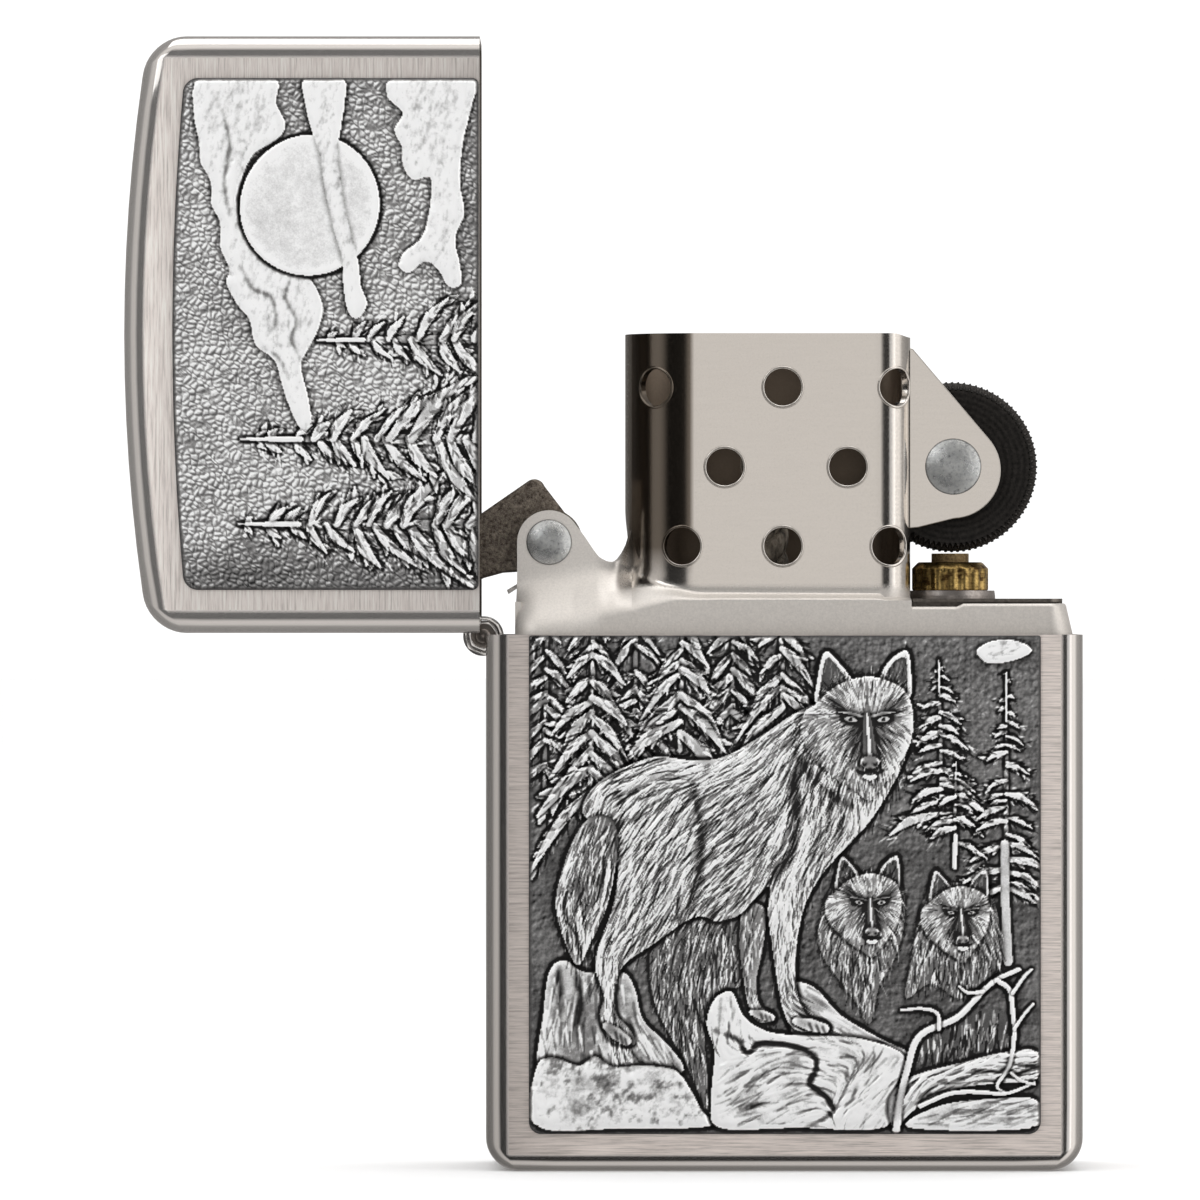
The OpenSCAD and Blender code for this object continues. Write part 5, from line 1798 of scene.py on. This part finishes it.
def lid_artwork():
    """Moon, drifting clouds and pine tops, for the plate on the lid; drawn with the lid shut."""
    canvas = Canvas(PLATE_W, LID_PLATE_H)
    u, v = canvas.grid_u, canvas.grid_v
    wander = 0.12 * mottle(u, v, 0.6, 2)
    leather = cobbles(u + wander, v - wander, 0.42, 0.8) + 0.3 * mottle(u, v, 0.35, 2)
    canvas.level += GROUND + 0.035 * leather
    # Painted light: the leather grain is shaded as if lit from the upper left
    canvas.tone += 0.66 + 0.26 * painted_side_light(leather, 2, 1) + 0.1 * (leather - 0.7) + 0.06 * mottle(u, v, 3.0)
    canvas.tone -= 0.3 * smooth((5 - u) / 5) + 0.12 * smooth((4 - v) / 4)
    pine(canvas, (15.9, 10.3), (16.0, -4.5), 4.9, 10, 0.36, 0.66, 0.52, 0.85, 0.3)
    pine(canvas, (4.2, 15.6), (4.1, -4.0), 6.0, 14, 0.36, 0.62, 0.6, 0.85, 0.34)
    pine(canvas, (9.6, 15.2), (9.6, -4.0), 5.6, 14, 0.37, 0.68, 0.6, 0.85, 0.34)
    left = [
        (32.6, 18.4), (30.6, 18.7), (28.5, 18.2), (27.2, 18.0), (26.0, 17.3), (24.6, 17.2), (23.4, 16.6),
        (21.8, 16.5), (20.4, 15.9), (19.6, 16.1), (18.2, 15.4), (17.2, 14.6), (15.6, 14.2), (14.6, 13.0),
        (12.9, 12.5), (11.2, 11.9), (10.2, 11.3), (10.7, 10.7), (12.4, 10.9), (14.3, 11.3), (15.4, 10.8),
        (16.6, 10.2), (18.0, 9.9), (19.6, 10.6), (20.2, 11.6), (20.6, 13.2), (22.0, 14.6), (24.0, 15.4),
        (26.0, 15.3), (27.7, 14.6), (28.6, 13.2), (29.6, 12.6), (31.0, 13.3), (32.6, 13.6),
    ]
    middle = [
        (32.6, 11.5), (30.6, 11.3), (29.0, 10.8), (27.7, 10.3), (25.5, 9.9), (23.0, 9.3), (21.0, 8.7),
        (19.2, 8.6), (17.7, 8.3), (17.3, 7.7), (18.2, 7.1), (19.4, 7.5), (21.0, 7.7), (24.0, 8.5),
        (27.5, 9.1), (29.3, 9.0), (31.0, 8.8), (32.6, 9.0),
    ]
    right = [
        (32.6, 5.5), (31.4, 6.0), (30.4, 5.0), (29.3, 5.5), (28.2, 5.0), (27.0, 4.9), (26.1, 4.2),
        (26.2, 3.1), (24.0, 3.2), (22.4, 3.7), (21.5, 4.8), (20.6, 5.1), (20.2, 4.4), (20.9, 3.4),
        (20.4, 2.6), (19.3, 1.9), (19.5, 1.1), (20.8, 1.2), (22.4, 1.5), (24.0, 0.9), (26.0, 1.2),
        (28.5, 1.0), (31.0, 0.4), (32.6, 0.3),
    ]
    for outline in (left, right):
        cloud_form(canvas, outline, 0.36)
    for fold in (
        [(20.6, 15.2), (19.2, 14.4), (18.6, 13.2), (17.2, 12.9), (16.2, 13.4)],
        [(20.0, 11.9), (18.6, 12.3), (17.2, 11.6), (16.0, 11.9), (14.8, 11.4)],
        [(15.4, 13.6), (14.6, 12.6), (13.4, 12.2)],
        [(30.8, 16.9), (28.4, 16.2), (25.8, 16.4), (23.6, 15.9)],
    ):
        canvas.crease(fold, 0.16, 0.05, 0.2)
    centre = np.array([24.5, 10.85])
    moon_r = 4.5
    disc = [centre + moon_r * np.array([math.cos(a), math.sin(a)]) for a in np.radians(range(0, 360, 15))]
    moon = canvas.form(disc, 0.46, 0.12, 0.2, 0.84, 0.14, 0.5)
    dust = mottle(moon["u"], moon["v"], 0.2, 1) + 0.6 * mottle(moon["u"], moon["v"], 2.0, 3)
    canvas.tone[moon["part"]] += 0.035 * dust * moon["inside"]
    cloud_form(canvas, middle, 0.5, 0.1)
    canvas.finish(0.3)
    return canvas


def relief_plates(material):
    """Both plates; the lid's follows the dome of the lid's top."""
    sag = 0.75

    def domed(u):
        return LID_PLATE_H - sag * ((u - PLATE_W / 2) / (PLATE_W / 2)) ** 2

    plate_object(
        "case_relief", case_artwork(), lambda u: np.full_like(u, CASE_PLATE_H), 0.8, 0.15,
        material, "case", ["case_emblem"]
    )
    plate_object(
        "lid_relief", lid_artwork(), domed, 0.4, 0.9, material, "lid", ["lid_emblem"], opened
    )


# ------------------------------------------------------------------- stage
def studio(pale_strength):
    """Surroundings: white to look at, but with darker bands round the front for metal to reflect.

    The bands depend on the angle off the front; the right and the upper side are brighter.
    """
    world = bpy.data.worlds.new("studio")
    bpy.context.scene.world = world
    world.use_nodes = True
    world.node_tree.nodes.clear()
    graph = Graph(world.node_tree)

    def background(colour, strength):
        node = graph.node("Background")
        graph.feed_all(node, ("Color", "Strength"), (colour, strength))
        return node.outputs["Background"]

    split = graph.node("SeparateXYZ")
    graph.feed(split.inputs[0], graph.node("TexCoord").outputs["Generated"])
    turn = graph.maths("ARCCOSINE", graph.maths("MULTIPLY", split.outputs["Y"], -1.0))
    bands = [
        (0.0, 0.88), (0.04, 0.84), (0.085, 0.04), (0.25, 0.02), (0.3, 0.6),
        (0.34, 0.88), (0.44, 0.84), (0.52, 0.34), (0.7, 0.24), (1.0, 0.4),
    ]
    stops = [(position, (level, level * 0.97, level * 0.94)) for position, level in bands]
    seen = graph.ramp(graph.maths("DIVIDE", turn, math.pi), stops)
    lean = graph.maths("MULTIPLY_ADD", split.outputs["X"], 0.35, 0.95)
    lift = graph.maths("MULTIPLY_ADD", split.outputs["Z"], 0.2, 1.0)
    tilt = graph.node("VectorMath")
    tilt.operation = "SCALE"
    graph.feed_all(tilt, (0, "Scale"), (seen, graph.maths("MULTIPLY", lean, lift)))
    mix = graph.node("MixShader")
    plain = background((1.0, 1.0, 1.0), pale_strength)
    glossy = graph.node("LightPath").outputs["Is Glossy Ray"]
    graph.feed_all(mix, range(3), (glossy, plain, background(tilt.outputs["Vector"], 1.0)))
    graph.feed(graph.node("OutputWorld").inputs["Surface"], mix.outputs["Shader"])


def soft_light(name, place, aim, size, watts):
    """A rectangular lamp at a place, turned to a point; all in millimetres."""
    light = bpy.data.lights.new(name, "AREA")
    light.shape = "RECTANGLE"
    light.size = size[0] * MM
    light.size_y = size[1] * MM
    light.energy = watts
    lamp = bpy.data.objects.new(name, light)
    bpy.context.scene.collection.objects.link(lamp)
    start = Vector(place) * MM
    lamp.location = start
    lamp.rotation_euler = (Vector(aim) * MM - start).to_track_quat("-Z", "Y").to_euler()


def floor_piece():
    """Pale floor, which metal does not reflect; its half width is in metres."""
    mesh = bpy.data.meshes.new("floor")
    reach = 4.0
    corners = [(-reach, -reach, 0), (reach, -reach, 0), (reach, reach, 0), (-reach, reach, 0)]
    mesh.from_pydata(corners, [], [(0, 1, 2, 3)])
    floor = bpy.data.objects.new("floor", mesh)
    bpy.context.scene.collection.objects.link(floor)
    look = Look("pale_floor", (0.92, 0.92, 0.92), metallic=0.0, roughness=0.9)
    mesh.materials.append(look.material)
    floor.visible_glossy = False


def camera():
    """Long lens straight at the front, framed so that the width seen at the front face is frame_mm."""
    data = bpy.data.cameras.new("camera")
    data.lens = 300
    data.sensor_width = 36
    eye = bpy.data.objects.new("camera", data)
    bpy.context.scene.collection.objects.link(eye)
    frame_mm = 76.43
    centre_x = -11.77
    centre_z = 36.41
    face_y = -CASE_D / 2
    distance = frame_mm / 2 / math.tan(math.atan(data.sensor_width / 2 / data.lens))
    eye.location = (centre_x * MM, (face_y - distance) * MM, centre_z * MM)
    eye.rotation_euler = (math.pi / 2, 0, 0)
    data.clip_start = 0.01
    data.clip_end = 20
    bpy.context.scene.camera = eye


# -------------------------------------------------------------------- make
def paint(node, material):
    """Gives a kept CAD node its material."""
    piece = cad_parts[node]
    piece.data.materials.clear()
    piece.data.materials.append(material)


def dome(x):
    """Rise of the lid's top at x, below its middle."""
    half = CASE_W / 2 - CROWN_R
    return -DOME_RISE * (np.asarray(x) / half) ** 2


def build():
    """Makes every piece and the stage; the plates come before the wads, which draw after them."""
    case_painted_shade = [(0, 0.6), (1.6, 0.66), (3.6, 0.82), (7, 1.0)]
    lid_painted_shade = [(0, 0.58), (3, 0.7), (19, 0.77), (21.5, 1.0)]
    case_metal = brushed_nickel("case_nickel", "z", (0.72, 0.645, 0.6), 0.97, case_painted_shade)
    lid_metal = brushed_nickel("lid_nickel", "x", (0.9, 0.822, 0.775), 0.86, lid_painted_shade)
    steel = sheet_steel("insert_steel", (0.74, 0.7, 0.655), roughness=0.15, satin_end=1.0, painted_dark_reflection=1.0)
    soot = sheet_steel("sooted_steel", (0.26, 0.21, 0.165), roughness=0.4)
    rivet = pitted_rivet("rivet_zinc")
    dark_steel = toothed_steel("wheel_black")
    cam_steel = granular("cam_sintered", (0.06, 0.045, 0.035), (0.34, 0.29, 0.235), 5.0, 0.06)
    bright_brass = brass("collar_brass")
    relief = pewter("relief_pewter", (0.013, 0.012, 0.012), (0.265, 0.26, 0.257), (0.95, 0.95, 0.95))

    case = shell_object(
        "case_looks", SEAM_Z, 0.0, FOOT_R, FACE_R, case_metal, "case", "case_shell", np.zeros_like
    )
    barrel_notch(case, "case")
    lid = shell_object(
        "lid_looks", SHUT_RIM, SHUT_TOP, CROWN_R, TOP_R, lid_metal, "lid", "lid_shell", dome, opened
    )
    barrel_notch(lid, "lid")
    insert_pieces(steel, soot)
    rivet_piece("cam_rivet_looks", "cam_rivet", CAM_X, CAM_Z, 1.45, rivet)
    rivet_low, rivet_high = box_mm("wheel_rivet")
    head_r = (rivet_high[0] - rivet_low[0]) / 2
    rivet_piece("wheel_rivet_looks", "wheel_rivet", WHEEL_X, WHEEL_Z, head_r, rivet)
    wheel_piece(dark_steel)
    collar_piece(bright_brass)
    hinge_pieces(drawn_metal("hinge_nickel", (0.9, 0.88, 0.86), 0.08))
    wick_piece(braid("wick_braid", (0.42, 0.36, 0.29)))

    relief_plates(relief)
    hinge_pin_piece(drawn_metal("pin_steel", (0.4, 0.36, 0.33), 0.3))
    paint("top_plate", drawn_metal("plate_steel", (0.26, 0.235, 0.21), 0.35))
    paint("collar_washer", drawn_metal("washer_steel", (0.56, 0.51, 0.48), 0.35))
    paint("cam_spring", drawn_metal("spring_strip", (0.5, 0.48, 0.46), 0.25))
    paint("cam_spring_rivet", rivet)
    cam_piece(cam_steel)
    paint("flint", granular("flint_metal", (0.16, 0.1, 0.045), (0.46, 0.33, 0.16), 6.0, 0.03))
    tube_brass = brass("tube_brass", (0.78, 0.6, 0.28), (0.2, 0.12, 0.05), 0.3)
    for node in ("flint_tube", "flint_plunger", "flint_screw"):
        paint(node, tube_brass)
    paint("flint_spring", drawn_metal("spring_wire", (0.55, 0.55, 0.55), 0.25))
    cotton = fibre("cotton", (0.93, 0.92, 0.88), 1.5, 0.2)
    for number in range(1, 7):
        packing_piece(number, cotton)
    felt_piece(fibre("felt", (0.8, 0.78, 0.73), 2.0, 0.1))

    floor_piece()
    studio(1.15)
    soft_light("key", (-260, -300, 260), (-10, 0, 36), (220, 220), 0.22)
    soft_light("fill", (300, -260, 60), (-10, 0, 36), (160, 300), 0.1)
    soft_light("top", (0, 40, 330), (-10, 0, 36), (300, 200), 0.3)
    camera()
    bpy.context.scene.view_settings.view_transform = "Standard"


build()
